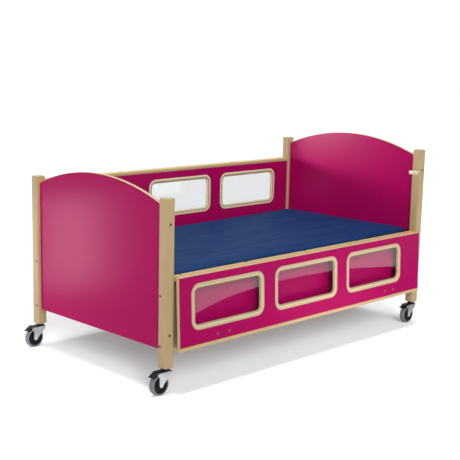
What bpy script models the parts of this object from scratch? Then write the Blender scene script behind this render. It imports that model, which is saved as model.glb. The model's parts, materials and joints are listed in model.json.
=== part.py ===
"""Safety bed on castors: square wooden posts, laminated boards, windowed sides and a hinged front flap.

X runs from the foot to the head, Y from the open front to the back, Z up from the floor. The front flap is
modelled upright, as it stands when the bed is closed, and its parent empty turns it down to where it hangs.
"""
import math

import bmesh
import bpy
from mathutils import Matrix, Vector

# Whole bed, in metres, over the posts
LENGTH = 2.000
WIDTH = 1.060
SEAT = 0.0003  # gap left between pieces that touch
CLEAR = 0.0003  # radial room round a screw, bolt or pin

# Posts
POST = 0.052
POST_BOTTOM = 0.125
FOOT_POST_TOP = 0.912
HEAD_POST_TOP = 1.024
POST_ROUND = 0.007
POST_TIP_ROUND = 0.003

# Laminated boards
BOARD = 0.018
BOARD_BOTTOM = 0.203
EDGE_EASE = 0.002
END_DROP = 0.033  # from a post's top down to the end of the crest
END_RISE = 0.095
CREST_STEPS = 18
SIDE_INSET = 0.038  # from the posts' outer face in to the middle of a side board

# Cap rails of the fixed sides
CAP = 0.018
REAR_TOP = 0.894
FRONT_TOP = 0.547

# Windows
WINDOW_LAND = 0.1327  # board left at each end of a full row of windows, before the row's shift
WINDOW_GAP = 0.080  # board left between two windows
WINDOW_HEIGHT = 0.222
WINDOW_ROUND = 0.048
REAR_WINDOW_SHIFT = 0.011  # towards the head; this row leaves out the window nearest the foot
FLAP_WINDOW_SHIFT = -0.0525  # towards the foot
REAR_WINDOW_Z = 0.7225
FLAP_WINDOW_DROP = 0.150  # from the hinge axis down to the middle of the hanging flap's windows
FRAME_RING = 0.025
FRAME_PROUD = 0.001
FRAME_CHAMFER = 0.004
PANE = 0.004
PANE_GRIP = 0.006  # how far a pane reaches into its frame's groove
CORNER_STEPS = 4

# Flap
FLAP_PLAY = 0.003  # between a flap end and a post
FLAP_TILT = 2.5  # degrees that the hanging flap stands off the vertical
FLAP_CAP = 0.016
FLAP_CAP_WIDTH = 0.034  # flush with the flap's inner face, so the rest stands out past its outer face
FLAP_CAP_NOSE = 0.013
FLAP_CAP_ROUND = 0.004
FLAP_TOP = REAR_TOP

# Continuous hinge
BARREL_RADIUS = 0.0025
LEAF = 0.0011
LEAF_REACH = 0.0165
KNUCKLES = 21
KNUCKLE_GAP = 0.0003
KNUCKLE_WRAP = 290.0  # degrees that the leaf is rolled round its pin
KNUCKLE_STEPS = 6
NOTCH = 0.0032
HINGE_END = 0.008  # from a flap end to the hinge's end
PIN_CLEAR = 0.0002
HINGE_SCREWS = 5
HINGE_SCREW_INSET = 0.045
HINGE_SCREW_REACH = 0.0095

# Handles on the flap
HANDLE_INSET = 0.285  # from the flap's end to the middle of a handle
HANDLE_SPAN = 0.076
HANDLE_ROD = 0.005
HANDLE_BEND = 0.014
HANDLE_SCREW_GRIP = 0.010  # into the handle's foot
HANDLE_DROP = 0.046  # below the raised flap's top

# Latch bolts and their keepers
BOLT_RADIUS = 0.004
BOLT_LENGTH = 0.052
BOLT_TRAVEL = 0.014
BOLT_BACK = 0.001
BOLT_CHAMFER = 0.001
BOLT_KNOB_BACK = 0.029  # from the bolt's tip to its knob
KNOB_STEM = 0.0025
KNOB_RADIUS = 0.006
KNOB_LENGTH = 0.009
KNOB_CHAMFER = 0.002
KNOB_STAND = 0.002  # from the cap rail's edge out to the knob
POCKET_DEPTH = 0.018
KEEPER = 0.002
KEEPER_TOP = 0.900
KEEPER_HEIGHT = 0.021
KEEPER_OVERHANG = 0.017  # past the post's inner edge
STOP_HEIGHT = 0.017
STOP_WIDTH = 0.008
STOP_THICK = 0.010
STOP_GAP = 0.001
STOP_EASE = 0.0015
KEEPER_SCREW_Y = 0.036  # from the post's outer face
KEEPER_SCREW_DROP = 0.0105

# Panel bolts
SIDE_BOLT_HEIGHTS = (0.463, 0.225)
END_BOLT_DROP = 0.118
END_BOLT_LOW = 0.280
PANEL_BOLT_HEAD = 0.0065
PANEL_BOLT_HEAD_HEIGHT = 0.004
PANEL_BOLT_SHANK = 0.003
PANEL_BOLT_GRIP = 0.036  # inside the board
RECESS = 0.007
RECESS_RADIUS = 0.0075

# Wood screws
SCREW_HEAD = 0.004
SCREW_HEAD_HEIGHT = 0.0025
SCREW_RIM = 0.0010
HEAD_TAPER = 0.8  # of a low head's radius, at its top
SCREW_SHANK = 0.002
SCREW_LENGTH = 0.034
RAIL_SCREW_INSET = 0.0677  # from a fixed rail's end to its first screw
FLAP_SCREW_INSET = 0.105
RAIL_SCREWS = 5
SMALL_HEAD = 0.003
SMALL_HEAD_HEIGHT = 0.0009
SMALL_HEAD_SINK = 0.0002
SMALL_SHANK = 0.0015
SMALL_SCREW_LENGTH = 0.012

# Slatted base and mattress
LEDGER_THICK = 0.020
LEDGER_HEIGHT = 0.040
LEDGER_TOP = 0.400
SLATS = 14
SLAT_WIDTH = 0.070
SLAT_THICK = 0.018
SLAT_PLAY = 0.003
SLAT_HOUSING = 0.003  # how deep a slat is let into its ledgers
MATTRESS_TOP = 0.580
MATTRESS_END_PLAY = 0.005
MATTRESS_SIDE_PLAY = 0.007
MATTRESS_ROUND = 0.045
MATTRESS_CROWN = 0.008
MATTRESS_EDGE = 0.022
MATTRESS_DRAW = 0.004

# Castors
WHEEL_RADIUS = 0.050
WHEEL_HALF = 0.015
HUB_HALF = 0.0170
HUB_RADIUS = 0.0120
WEB_HALF = 0.0050
RIM_WALL = 0.007
RIM_STEP = 0.002  # from the tread's side in to the rim's
TREAD = 0.009
TREAD_SHOULDER = 0.004
AXLE_RADIUS = 0.004
AXLE_HEAD = 0.0025
AXLE_HEAD_RADIUS = 0.0065
TRAIL = 0.040
STEM_RADIUS = 0.0055
STEM_LENGTH = 0.045
PLATE_RADIUS = 0.023
PLATE_THICK = 0.004
RACE_RADIUS = 0.0185
RACE_HEIGHT = 0.008
KINGPIN_RADIUS = 0.005
RIVET_RADIUS = 0.009
RIVET_HEIGHT = 0.0025
RIVET_CHAMFER = 0.002
CROWN = 0.0035
FORK_INNER = 0.0175
LEG = 0.003
EYE_RADIUS = 0.012
EYE_SLOPE = 0.7  # of the eye's radius, at its corners
CROWN_LIP = 0.002  # past the race, at the crown's front
LEG_TOP = 0.014  # depth of a leg at the front, below the crown
EAR = 0.006  # from the pedal's pin back to the end of the fork
EAR_DEPTH = 0.016
EAR_MOUTH = 0.0085  # from the pedal's pin forward to the crown's edge
PEDAL_PIN = 0.0025
PEDAL_PLAY = 0.001
WHEEL_SIDES = 20

# Places that follow from those sizes
POST_X = LENGTH / 2 - POST / 2
POST_Y = WIDTH / 2 - POST / 2
INNER_X = LENGTH / 2 - POST
INNER_Y = WIDTH / 2 - POST
SIDE_Y = WIDTH / 2 - SIDE_INSET
SIDE_INNER = SIDE_Y - BOARD / 2
SIDE_OUTER = SIDE_Y + BOARD / 2
RAIL_END = INNER_X - SEAT
WINDOW_WIDTH = (2 * RAIL_END - 2 * WINDOW_LAND - 2 * WINDOW_GAP) / 3
WINDOW_PITCH = WINDOW_WIDTH + WINDOW_GAP
AXIS_Y = -WIDTH / 2 - SEAT - BARREL_RADIUS
AXIS_Z = FRONT_TOP + SEAT / 2
FLAP_END = INNER_X - FLAP_PLAY
FLAP_BOTTOM = FRONT_TOP + SEAT
FLAP_FRONT = -WIDTH / 2
FLAP_MIDDLE = FLAP_FRONT + BOARD / 2
FLAP_BACK = FLAP_FRONT + BOARD
FLAP_WINDOW_Z = AXIS_Z + FLAP_WINDOW_DROP
FLAP_CAP_FRONT = FLAP_BACK - FLAP_CAP_WIDTH
FLAP_CAP_Z = FLAP_TOP - FLAP_CAP / 2
BOLT_X = FLAP_END - BOLT_BACK
RACE_BOTTOM = POST_BOTTOM - SEAT - PLATE_THICK - RACE_HEIGHT
CROWN_TOP = RACE_BOTTOM - SEAT
CROWN_BOTTOM = CROWN_TOP - CROWN
FORK_OUTER = FORK_INNER + LEG


def arc(centre_a, centre_b, radius, start, end, steps):
    """Points of an arc in a plane, angles in degrees."""
    points = []
    for step in range(steps + 1):
        angle = math.radians(start + (end - start) * step / steps)
        points.append((centre_a + radius * math.cos(angle), centre_b + radius * math.sin(angle)))
    return points


def rounded_outline(corners, steps):
    """Round each corner (a, b, radius) of a closed outline with a true arc."""
    points = []
    for index, (a, b, radius) in enumerate(corners):
        corner = Vector((a, b))
        before = (Vector(corners[index - 1][:2]) - corner).normalized()
        after = (Vector(corners[(index + 1) % len(corners)][:2]) - corner).normalized()
        if radius == 0:
            points.append((a, b))
            continue
        half = before.angle(after) / 2
        centre = corner + (before + after).normalized() * radius / math.sin(half)
        first = corner + before * radius / math.tan(half) - centre
        last = corner + after * radius / math.tan(half) - centre
        turn = first.angle_signed(last)
        for step in range(steps + 1):
            ray = Matrix.Rotation(-turn * step / steps, 2) @ first
            points.append((centre.x + ray.x, centre.y + ray.y))
    return points


def rounded_rectangle(width, height, radius, steps):
    """A rectangle about the origin with four equal round corners."""
    a = width / 2
    b = height / 2
    corners = [(a, -b, radius), (a, b, radius), (-a, b, radius), (-a, -b, radius)]
    return rounded_outline(corners, steps)


def spaced(reach, count):
    """Even places from minus a reach to plus that reach."""
    return [reach * (2 * number / (count - 1) - 1) for number in range(count)]


def extruded(outline, axis, low, high):
    """Extrude a closed outline between two planes square to an axis."""
    bm = bmesh.new()
    order = {"X": lambda a, b, c: (c, a, b), "Y": lambda a, b, c: (a, c, b), "Z": lambda a, b, c: (a, b, c)}
    place = order[axis]
    face = bm.faces.new([bm.verts.new(place(a, b, low)) for a, b in outline])
    grown = bmesh.ops.extrude_face_region(bm, geom=[face])
    shift = Vector(place(0, 0, high - low))
    raised = [item for item in grown["geom"] if isinstance(item, bmesh.types.BMVert)]
    bmesh.ops.translate(bm, vec=shift, verts=raised)
    return bm


def box(low, high):
    """A plain block between two corners."""
    low = Vector(low)
    high = Vector(high)
    bm = bmesh.new()
    bmesh.ops.create_cube(bm, size=1.0)
    bmesh.ops.scale(bm, vec=high - low, verts=bm.verts)
    bmesh.ops.translate(bm, vec=(low + high) / 2, verts=bm.verts)
    return bm


def ease(bm, width, steps=1):
    """Take the sharp edges off a block or an extruded board."""
    sharp = [edge for edge in bm.edges if edge.calc_face_angle(0) > math.radians(30)]
    bmesh.ops.bevel(bm, geom=sharp, offset=width, segments=steps, profile=0.5, affect="EDGES")
    return bm


def turned(profile, sides):
    """A body of revolution about Z from (radius, height) points; a radius of 0 closes an end."""
    bm = bmesh.new()
    rings = []
    for radius, height in profile:
        count = 1 if radius == 0 else sides
        ring = []
        for side in range(count):
            angle = 2 * math.pi * side / sides
            ring.append(bm.verts.new((radius * math.cos(angle), radius * math.sin(angle), height)))
        rings.append(ring)
    closed = profile[0][0] > 0
    spans = len(rings) if closed else len(rings) - 1
    for index in range(spans):
        upper = rings[index]
        lower = rings[(index + 1) % len(rings)]
        for side in range(sides):
            following = (side + 1) % sides
            corners = [upper[side % len(upper)], upper[following % len(upper)]]
            corners += [lower[following % len(lower)], lower[side % len(lower)]]
            bm.faces.new(list(dict.fromkeys(corners)))
    return bm


def loft(loops, ring=False):
    """Skin a row of equal loops; a ring joins the last loop to the first, a solid gets two end caps."""
    bm = bmesh.new()
    rows = [[bm.verts.new(point) for point in loop] for loop in loops]
    count = len(rows[0])
    pairs = list(zip(rows, rows[1:]))
    if ring:
        pairs.append((rows[-1], rows[0]))
    for lower, upper in pairs:
        for index in range(count):
            following = (index + 1) % count
            bm.faces.new((lower[index], lower[following], upper[following], upper[index]))
    if not ring:
        bm.faces.new(rows[0])
        bm.faces.new(rows[-1])
    return bm


def rod(path, radius, sides):
    """A round rod along a path that lies in one plane of constant Z."""
    loops = []
    for index, point in enumerate(path):
        before = Vector(path[max(index - 1, 0)])
        after = Vector(path[min(index + 1, len(path) - 1)])
        along = (after - before).normalized()
        across = Vector((-along.y, along.x, 0))
        loop = []
        for side in range(sides):
            angle = 2 * math.pi * side / sides
            loop.append(Vector(point) + across * radius * math.cos(angle) + Vector((0, 0, radius * math.sin(angle))))
        loops.append(loop)
    return loft(loops)


def aimed(bm, position, direction):
    """Turn a body so that its Z points along a direction, and move it into place."""
    turn = Vector(direction).to_track_quat("Z", "Y").to_matrix().to_4x4()
    bmesh.ops.transform(bm, matrix=Matrix.Translation(position) @ turn, verts=bm.verts)
    return bm


def together(bodies):
    """Put several separate bodies in one mesh."""
    bm = bmesh.new()
    for body in bodies:
        bmesh.ops.recalc_face_normals(body, faces=body.faces)
        mesh = bpy.data.meshes.new("loose body")
        body.to_mesh(mesh)
        body.free()
        bm.from_mesh(mesh)
        bpy.data.meshes.remove(mesh)
    return bm


def finish(name, colour, roughness, metallic=0.0):
    """A surface finish with its base colour, roughness and metallic value."""
    material = bpy.data.materials.new(name)
    material.use_nodes = True
    shader = material.node_tree.nodes["Principled BSDF"]
    shader.inputs["Base Color"].default_value = (*colour, 1.0)
    shader.inputs["Roughness"].default_value = roughness
    shader.inputs["Metallic"].default_value = metallic
    return material


def piece(name, bm, material, location=(0, 0, 0), parent=None):
    """Make the named object of one sub-part, shaded smooth across its round faces."""
    bmesh.ops.recalc_face_normals(bm, faces=bm.faces)
    mesh = bpy.data.meshes.new(name)
    bm.to_mesh(mesh)
    bm.free()
    mesh.materials.append(material)
    mesh.shade_smooth()
    mesh.set_sharp_from_angle(angle=math.radians(30))
    made = bpy.data.objects.new(name, mesh)
    bpy.context.scene.collection.objects.link(made)
    made.location = location
    made.parent = parent
    return made


def empty(name, location, parent=None):
    """A joint's place, which its moving pieces follow."""
    made = bpy.data.objects.new(name, None)
    bpy.context.scene.collection.objects.link(made)
    made.location = location
    made.parent = parent
    return made


def cutter(name, bm, parent):
    """A body that only shapes others, left out of the finished bed."""
    made = piece(name, bm, finishes["steel"], parent=parent)
    made.hide_render = True
    made.display_type = "WIRE"
    return made


def combine(target, tool, operation="DIFFERENCE"):
    """Cut a tool out of a piece, or join it on."""
    step = target.modifiers.new(operation.lower() + " " + tool.name, "BOOLEAN")
    step.operation = operation
    step.solver = "EXACT"
    step.object = tool


def flat_screw(length):
    """Profile of a countersunk screw whose head lies just under Z = 0."""
    return [(0, -SEAT), (SCREW_HEAD, -SEAT), (SCREW_HEAD, -SCREW_RIM), (SCREW_SHANK, -SCREW_HEAD_HEIGHT),
            (SCREW_SHANK, -length), (0, -length)]


def countersink(depth):
    """Profile of a countersunk hole for such a screw."""
    return [(0, SEAT), (SCREW_HEAD + CLEAR, SEAT), (SCREW_HEAD + CLEAR, -SCREW_RIM),
            (SCREW_SHANK + CLEAR, -SCREW_HEAD_HEIGHT - SEAT), (SCREW_SHANK + CLEAR, -depth), (0, -depth)]


def screw_groove():
    """Profile of the thin groove round a countersunk head that stays with its board."""
    return [(0, SEAT), (SCREW_HEAD + CLEAR, SEAT), (SCREW_HEAD + CLEAR, -SCREW_RIM), (SCREW_HEAD, -SCREW_RIM),
            (SCREW_HEAD, -SEAT), (0, -SEAT)]


def shank(radius, start, tip):
    """Profile of a plain shank between two depths."""
    return [(0, -start), (radius, -start), (radius, -tip), (0, -tip)]


def pan_screw(length):
    """Profile of a small pan-head screw whose head stands on Z = 0."""
    return [(0, SMALL_HEAD_HEIGHT), (SMALL_HEAD * HEAD_TAPER, SMALL_HEAD_HEIGHT), (SMALL_HEAD, -SMALL_HEAD_SINK),
            (SMALL_SHANK, -SMALL_HEAD_SINK), (SMALL_SHANK, -length), (0, -length)]


def bodies(name, places, profile, parent, sides=8):
    """Equal turned bodies at several places, to cut with or to join on."""
    return cutter(name, together([aimed(turned(profile, sides), *place) for place in places]), parent)


def fix(carrier, passed, name, places, profile, parent, groove=None):
    """Screws or bolts that stay with the piece under their heads, with holes in the pieces behind it."""
    if groove:
        combine(carrier, bodies(name + " grooves", places, groove, parent))
    combine(carrier, bodies(name, places, profile, parent, 6), "UNION")
    radius, tip = profile[-2]
    hole = [(0, 0), (radius + 2 * CLEAR, 0), (radius + 2 * CLEAR, tip - SEAT), (0, tip - SEAT)]
    holes = bodies(name + " holes", places, hole, parent, 6)
    for target in passed:
        combine(target, holes)


def board(name, low, high, material, parent, width=EDGE_EASE):
    """A straight board with eased edges, placed by its middle."""
    middle = (Vector(low) + Vector(high)) / 2
    blank = box(Vector(low) - middle, Vector(high) - middle)
    return piece(name, ease(blank, width), material, middle, parent)


for old in list(bpy.data.objects):
    bpy.data.objects.remove(old)

finishes = {
    "post wood": finish("post wood", (0.55, 0.40, 0.22), 0.45),
    "cap wood": finish("cap wood", (0.62, 0.47, 0.28), 0.40),
    "frame wood": finish("frame wood", (0.60, 0.49, 0.29), 0.45),
    "slat wood": finish("slat wood", (0.58, 0.44, 0.26), 0.60),
    "laminate": finish("laminate", (0.38, 0.010, 0.10), 0.25),
    "pane": finish("pane", (0.80, 0.81, 0.82), 0.08),
    "steel": finish("steel", (0.55, 0.55, 0.56), 0.30, 1.0),
    "cream plastic": finish("cream plastic", (0.75, 0.72, 0.55), 0.45),
    "black plastic": finish("black plastic", (0.02, 0.02, 0.02), 0.40),
    "grey tread": finish("grey tread", (0.30, 0.30, 0.31), 0.65),
    "navy cover": finish("navy cover", (0.025, 0.057, 0.16), 0.55),
}


def flap_cap_outline():
    """Section of the flap's cap rail, upright flap, as (Y, Z) points with one deep round nose."""
    under = FLAP_TOP - FLAP_CAP
    corners = [(FLAP_CAP_FRONT, under, 0.001), (FLAP_BACK, under, 0)]
    corners += [(FLAP_BACK, FLAP_TOP, FLAP_CAP_ROUND), (FLAP_CAP_FRONT, FLAP_TOP, FLAP_CAP_NOSE)]
    return rounded_outline(corners, 4)


def pedal_outline():
    """Side view of a brake pedal about its pivot: hood round the tyre, short toe lip and brake pad."""
    corners = [(0.0070, -0.0030, 0), (0.0070, 0.0030, 0), (0.0, 0.0072, 0.004), (-0.0150, 0.0030, 0.010)]
    corners += [(-0.0270, -0.0072, 0.004), (-0.0355, -0.0080, 0), (-0.0362, -0.0110, 0), (-0.0295, -0.0138, 0.003)]
    corners += [(-0.0240, -0.0145, 0), (-0.0185, -0.0125, 0), (-0.0120, -0.0085, 0)]
    return rounded_outline(corners, 2)


PEDAL_X = -TRAIL - 0.016
PEDAL_Z = CROWN_TOP - 0.0082

# The row's origin lies on the floor under the middle of the resting bed, castors and hanging flap included
hang = Matrix.Rotation(math.radians(180 - FLAP_TILT), 3, "X")
flap_reach = min((hang @ Vector((0, y - AXIS_Y, z - AXIS_Z))).y for y, z in flap_cap_outline()) + AXIS_Y
toe_reach = -POST_X + PEDAL_X + min(x for x, z in pedal_outline())
bed = empty("bed", (-(toe_reach + LENGTH / 2) / 2, -(flap_reach + WIDTH / 2) / 2, 0))


def make_post(name, x, y, top):
    """A square post with round arrises and a socket for its castor's stem."""
    bm = box((-POST / 2, -POST / 2, 0), (POST / 2, POST / 2, top - POST_BOTTOM))
    upright = [edge for edge in bm.edges if abs(edge.verts[0].co.z - edge.verts[1].co.z) > POST]
    bmesh.ops.bevel(bm, geom=upright, offset=POST_ROUND, segments=2, profile=0.5, affect="EDGES")
    height = top - POST_BOTTOM
    rim = [edge for edge in bm.edges if min(edge.verts[0].co.z, edge.verts[1].co.z) > height - SEAT]
    bmesh.ops.bevel(bm, geom=rim, offset=POST_TIP_ROUND, segments=2, profile=0.5, affect="EDGES")
    post = piece(name, bm, finishes["post wood"], (x, y, POST_BOTTOM), bed)
    socket = turned([(0, STEM_LENGTH + 2 * SEAT), (STEM_RADIUS + CLEAR, STEM_LENGTH + 2 * SEAT),
                     (STEM_RADIUS + CLEAR, -SEAT * 10), (0, -SEAT * 10)], 12)
    hole = cutter(name + " socket", socket, bed)
    hole.location = (x, y, POST_BOTTOM)
    combine(post, hole)
    return post


def make_end(name, x, post_top):
    """An end board between two posts, its top edge one shallow arc."""
    half = INNER_Y - SEAT
    end_z = post_top - END_DROP
    radius = (half * half + END_RISE * END_RISE) / (2 * END_RISE)
    spread = math.degrees(math.asin(half / radius))
    outline = [(-half, BOARD_BOTTOM), (half, BOARD_BOTTOM)]
    outline += arc(0, end_z + END_RISE - radius, radius, 90 - spread, 90 + spread, CREST_STEPS)
    return piece(name, ease(extruded(outline, "X", -BOARD / 2, BOARD / 2), EDGE_EASE), finishes["laminate"],
                 (x, 0, 0), bed)


REAR_WINDOW_X = [REAR_WINDOW_SHIFT + WINDOW_PITCH * place for place in (0, 1)]
FLAP_WINDOW_X = [FLAP_WINDOW_SHIFT + WINDOW_PITCH * place for place in (-1, 0, 1)]


def window_openings(name, board_piece, centres, y, z, parent):
    """Cut a row of window openings through a side board."""
    bodies = []
    for x in centres:
        outline = rounded_rectangle(WINDOW_WIDTH, WINDOW_HEIGHT, WINDOW_ROUND, CORNER_STEPS)
        outline = [(a + x, b + z) for a, b in outline]
        bodies.append(extruded(outline, "Y", y - BOARD, y + BOARD))
    combine(board_piece, cutter(name, together(bodies), parent))


def make_window(name, number, x, y, z, parent):
    """A window: a wooden ring let into the board and a clear pane held in the ring's groove."""
    half = BOARD / 2 + FRAME_PROUD
    groove = PANE / 2 + SEAT
    section = [(SEAT, -half), (SEAT, half), (FRAME_RING - FRAME_CHAMFER, half), (FRAME_RING, half - FRAME_CHAMFER)]
    section += [(FRAME_RING, groove), (FRAME_RING - PANE_GRIP, groove), (FRAME_RING - PANE_GRIP, -groove)]
    section += [(FRAME_RING, -groove), (FRAME_RING, FRAME_CHAMFER - half), (FRAME_RING - FRAME_CHAMFER, -half)]

    def outline(inset, depth):
        points = rounded_rectangle(WINDOW_WIDTH - 2 * inset, WINDOW_HEIGHT - 2 * inset, WINDOW_ROUND - inset,
                                   CORNER_STEPS)
        return [(a, depth, b) for a, b in points]

    ring = loft([outline(inset, depth) for inset, depth in section], ring=True)
    piece(f"{name}_window_frame_{number}", ring, finishes["frame wood"], (x, y, z), parent)
    edge = FRAME_RING - PANE_GRIP + SEAT
    pane = loft([outline(edge, -PANE / 2), outline(edge, PANE / 2)])
    piece(f"{name}_pane_{number}", pane, finishes["pane"], (x, y, z), parent)


# Posts and boards
posts = {}
for end, sx, top in (("foot", -1, FOOT_POST_TOP), ("head", 1, HEAD_POST_TOP)):
    for side, sy in (("front", -1), ("rear", 1)):
        posts[end, side] = make_post(f"{end}_{side}_post", sx * POST_X, sy * POST_Y, top)
foot_panel = make_end("foot_panel", -POST_X, FOOT_POST_TOP)
head_panel = make_end("head_panel", POST_X, HEAD_POST_TOP)
rear_panel = board("rear_panel", (-RAIL_END, SIDE_INNER, BOARD_BOTTOM), (RAIL_END, SIDE_OUTER, REAR_TOP - CAP - SEAT),
                   finishes["laminate"], bed)
front_panel = board("front_panel", (-RAIL_END, -SIDE_OUTER, BOARD_BOTTOM),
                    (RAIL_END, -SIDE_INNER, FRONT_TOP - CAP - SEAT), finishes["laminate"], bed)
rear_cap = board("rear_cap_rail", (-RAIL_END, SIDE_INNER, REAR_TOP - CAP), (RAIL_END, WIDTH / 2, REAR_TOP),
                 finishes["cap wood"], bed, 0.004)
front_cap = board("front_cap_rail", (-RAIL_END, -WIDTH / 2, FRONT_TOP - CAP), (RAIL_END, -SIDE_INNER, FRONT_TOP),
                  finishes["cap wood"], bed, 0.001)
window_openings("rear window openings", rear_panel, REAR_WINDOW_X, SIDE_Y, REAR_WINDOW_Z, bed)
for number, x in enumerate(REAR_WINDOW_X, start=1):
    make_window("rear", number, x, SIDE_Y, REAR_WINDOW_Z, bed)

# Bolts that pull the boards against the posts; their heads stay sunk in the posts' outer faces
head_top = PANEL_BOLT_HEAD_HEIGHT - RECESS
bolt_recess = [(0, RECESS), (RECESS_RADIUS, RECESS), (RECESS_RADIUS, -RECESS), (PANEL_BOLT_HEAD, -RECESS),
               (PANEL_BOLT_HEAD, head_top), (0, head_top)]
bolt_shank = shank(PANEL_BOLT_SHANK, POST / 2 + PANEL_BOLT_SHANK * 2, POST + PANEL_BOLT_GRIP)
for end, sx, top, end_panel in (("foot", -1, FOOT_POST_TOP, foot_panel), ("head", 1, HEAD_POST_TOP, head_panel)):
    for side, sy, side_panel in (("front", -1, front_panel), ("rear", 1, rear_panel)):
        places = [((sx * LENGTH / 2, sy * SIDE_Y, z), (sx, 0, 0)) for z in SIDE_BOLT_HEIGHTS]
        places += [((sx * POST_X, sy * WIDTH / 2, z), (0, sy, 0)) for z in (top - END_BOLT_DROP, END_BOLT_LOW)]
        fix(posts[end, side], [end_panel, side_panel], f"{end} {side} panel bolts", places, bolt_shank, bed,
            bolt_recess)

# Slatted base: two ledgers screwed to the side boards, with slats let into them
ledger_inner = SIDE_INNER - SEAT - LEDGER_THICK
ledger_outer = SIDE_INNER - SEAT
slatted_base = piece("slatted_base", box((-RAIL_END, -ledger_outer, LEDGER_TOP - LEDGER_HEIGHT),
                                         (RAIL_END, -ledger_inner, LEDGER_TOP)), finishes["slat wood"], parent=bed)
slat_half = SIDE_INNER - SLAT_PLAY
slat_first = RAIL_END - SLAT_WIDTH / 2 - SLAT_PLAY
slat_pitch = 2 * slat_first / (SLATS - 1)
base_parts = [box((-RAIL_END, ledger_inner, LEDGER_TOP - LEDGER_HEIGHT), (RAIL_END, ledger_outer, LEDGER_TOP))]
combine(slatted_base, cutter("rear ledger", together(base_parts), bed), "UNION")
slat_top = LEDGER_TOP - SLAT_HOUSING + SLAT_THICK
slats = []
for number in range(SLATS):
    x = -slat_first + slat_pitch * number
    slats.append(box((x - SLAT_WIDTH / 2, -slat_half, LEDGER_TOP - SLAT_HOUSING),
                     (x + SLAT_WIDTH / 2, slat_half, slat_top)))
combine(slatted_base, cutter("slats", together(slats), bed), "UNION")

# Wood screws of the fixed sides: down through the cap rails, and sideways through the ledgers
board_screw = shank(SCREW_SHANK, FLAP_CAP / 2, SCREW_LENGTH)
rail_stations = spaced(RAIL_END - RAIL_SCREW_INSET, RAIL_SCREWS)
fix(rear_cap, [rear_panel], "rear rail screws", [((x, SIDE_Y, REAR_TOP), (0, 0, 1)) for x in rail_stations],
    board_screw, bed, screw_groove())
fix(front_cap, [front_panel], "front rail screws", [((x, -SIDE_Y, FRONT_TOP), (0, 0, 1)) for x in rail_stations],
    board_screw, bed, screw_groove())
ledger_places = []
for sy in (-1, 1):
    for x in rail_stations[::2]:
        ledger_places.append(((x, sy * ledger_inner, LEDGER_TOP - LEDGER_HEIGHT / 2), (0, -sy, 0)))
fix(slatted_base, [front_panel, rear_panel], "ledger screws", ledger_places, board_screw, bed,
    screw_groove())


def make_mattress():
    """A covered foam mattress: round plan corners, soft edges, drawn-in sides and a low crown."""
    half_x = LENGTH / 2 - POST / 2 - BOARD / 2 - MATTRESS_END_PLAY
    half_y = SIDE_INNER - MATTRESS_SIDE_PLAY
    bottom = slat_top + SEAT
    shoulder = MATTRESS_TOP - MATTRESS_CROWN
    middle = (bottom + shoulder) / 2
    soft = MATTRESS_EDGE
    section = [(soft, bottom), (soft * 0.45, bottom + soft * 0.12), (soft * 0.1, bottom + soft * 0.5)]
    section += [(0, bottom + soft), (MATTRESS_DRAW, middle), (0, shoulder - soft)]
    section += [(soft * 0.1, shoulder - soft * 0.5), (soft * 0.45, shoulder - soft * 0.12), (soft, shoulder)]
    section += [(soft * 3, shoulder + MATTRESS_CROWN * 0.55), (soft * 7, shoulder + MATTRESS_CROWN * 0.9)]
    section += [(soft * 13, MATTRESS_TOP)]
    loops = []
    for inset, z in section:
        corner = max(MATTRESS_ROUND - inset, MATTRESS_ROUND / 3)
        outline = rounded_rectangle(2 * (half_x - inset), 2 * (half_y - inset), corner, 8)
        loops.append([(a, b, z) for a, b in outline])
    return piece("mattress", loft(loops), finishes["navy cover"], (0, 0, 0), bed)


make_mattress()

# Flap: everything below is placed upright about the hinge axis and turned down by the empty
flap = empty("flap_hinge_axis", (0, AXIS_Y, AXIS_Z), bed)
flap.rotation_euler.x = math.radians(180 - FLAP_TILT)


def upright(x, y, z):
    """A place on the closed, upright flap, seen from the hinge axis."""
    return Vector((x, y - AXIS_Y, z - AXIS_Z))


flap_panel = board("flap_panel", upright(-FLAP_END, FLAP_FRONT, FLAP_BOTTOM),
                   upright(FLAP_END, FLAP_BACK, FLAP_TOP - FLAP_CAP - SEAT), finishes["laminate"], flap)
window_openings("flap window openings", flap_panel, FLAP_WINDOW_X, FLAP_MIDDLE - AXIS_Y, FLAP_WINDOW_DROP, flap)
for number, x in enumerate(FLAP_WINDOW_X, start=1):
    make_window("flap", number, *upright(x, FLAP_MIDDLE, FLAP_WINDOW_Z), flap)

cap_section = [(y - AXIS_Y, z - AXIS_Z) for y, z in flap_cap_outline()]
flap_cap = piece("flap_cap_rail", extruded(cap_section, "X", -FLAP_END, FLAP_END), finishes["cap wood"],
                 parent=flap)
cap_screw_places = [(upright(x, FLAP_MIDDLE, FLAP_TOP), (0, 0, 1))
                    for x in spaced(FLAP_END - FLAP_SCREW_INSET, RAIL_SCREWS)]
fix(flap_cap, [flap_panel], "flap cap screws", cap_screw_places, board_screw, flap, screw_groove())


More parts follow.
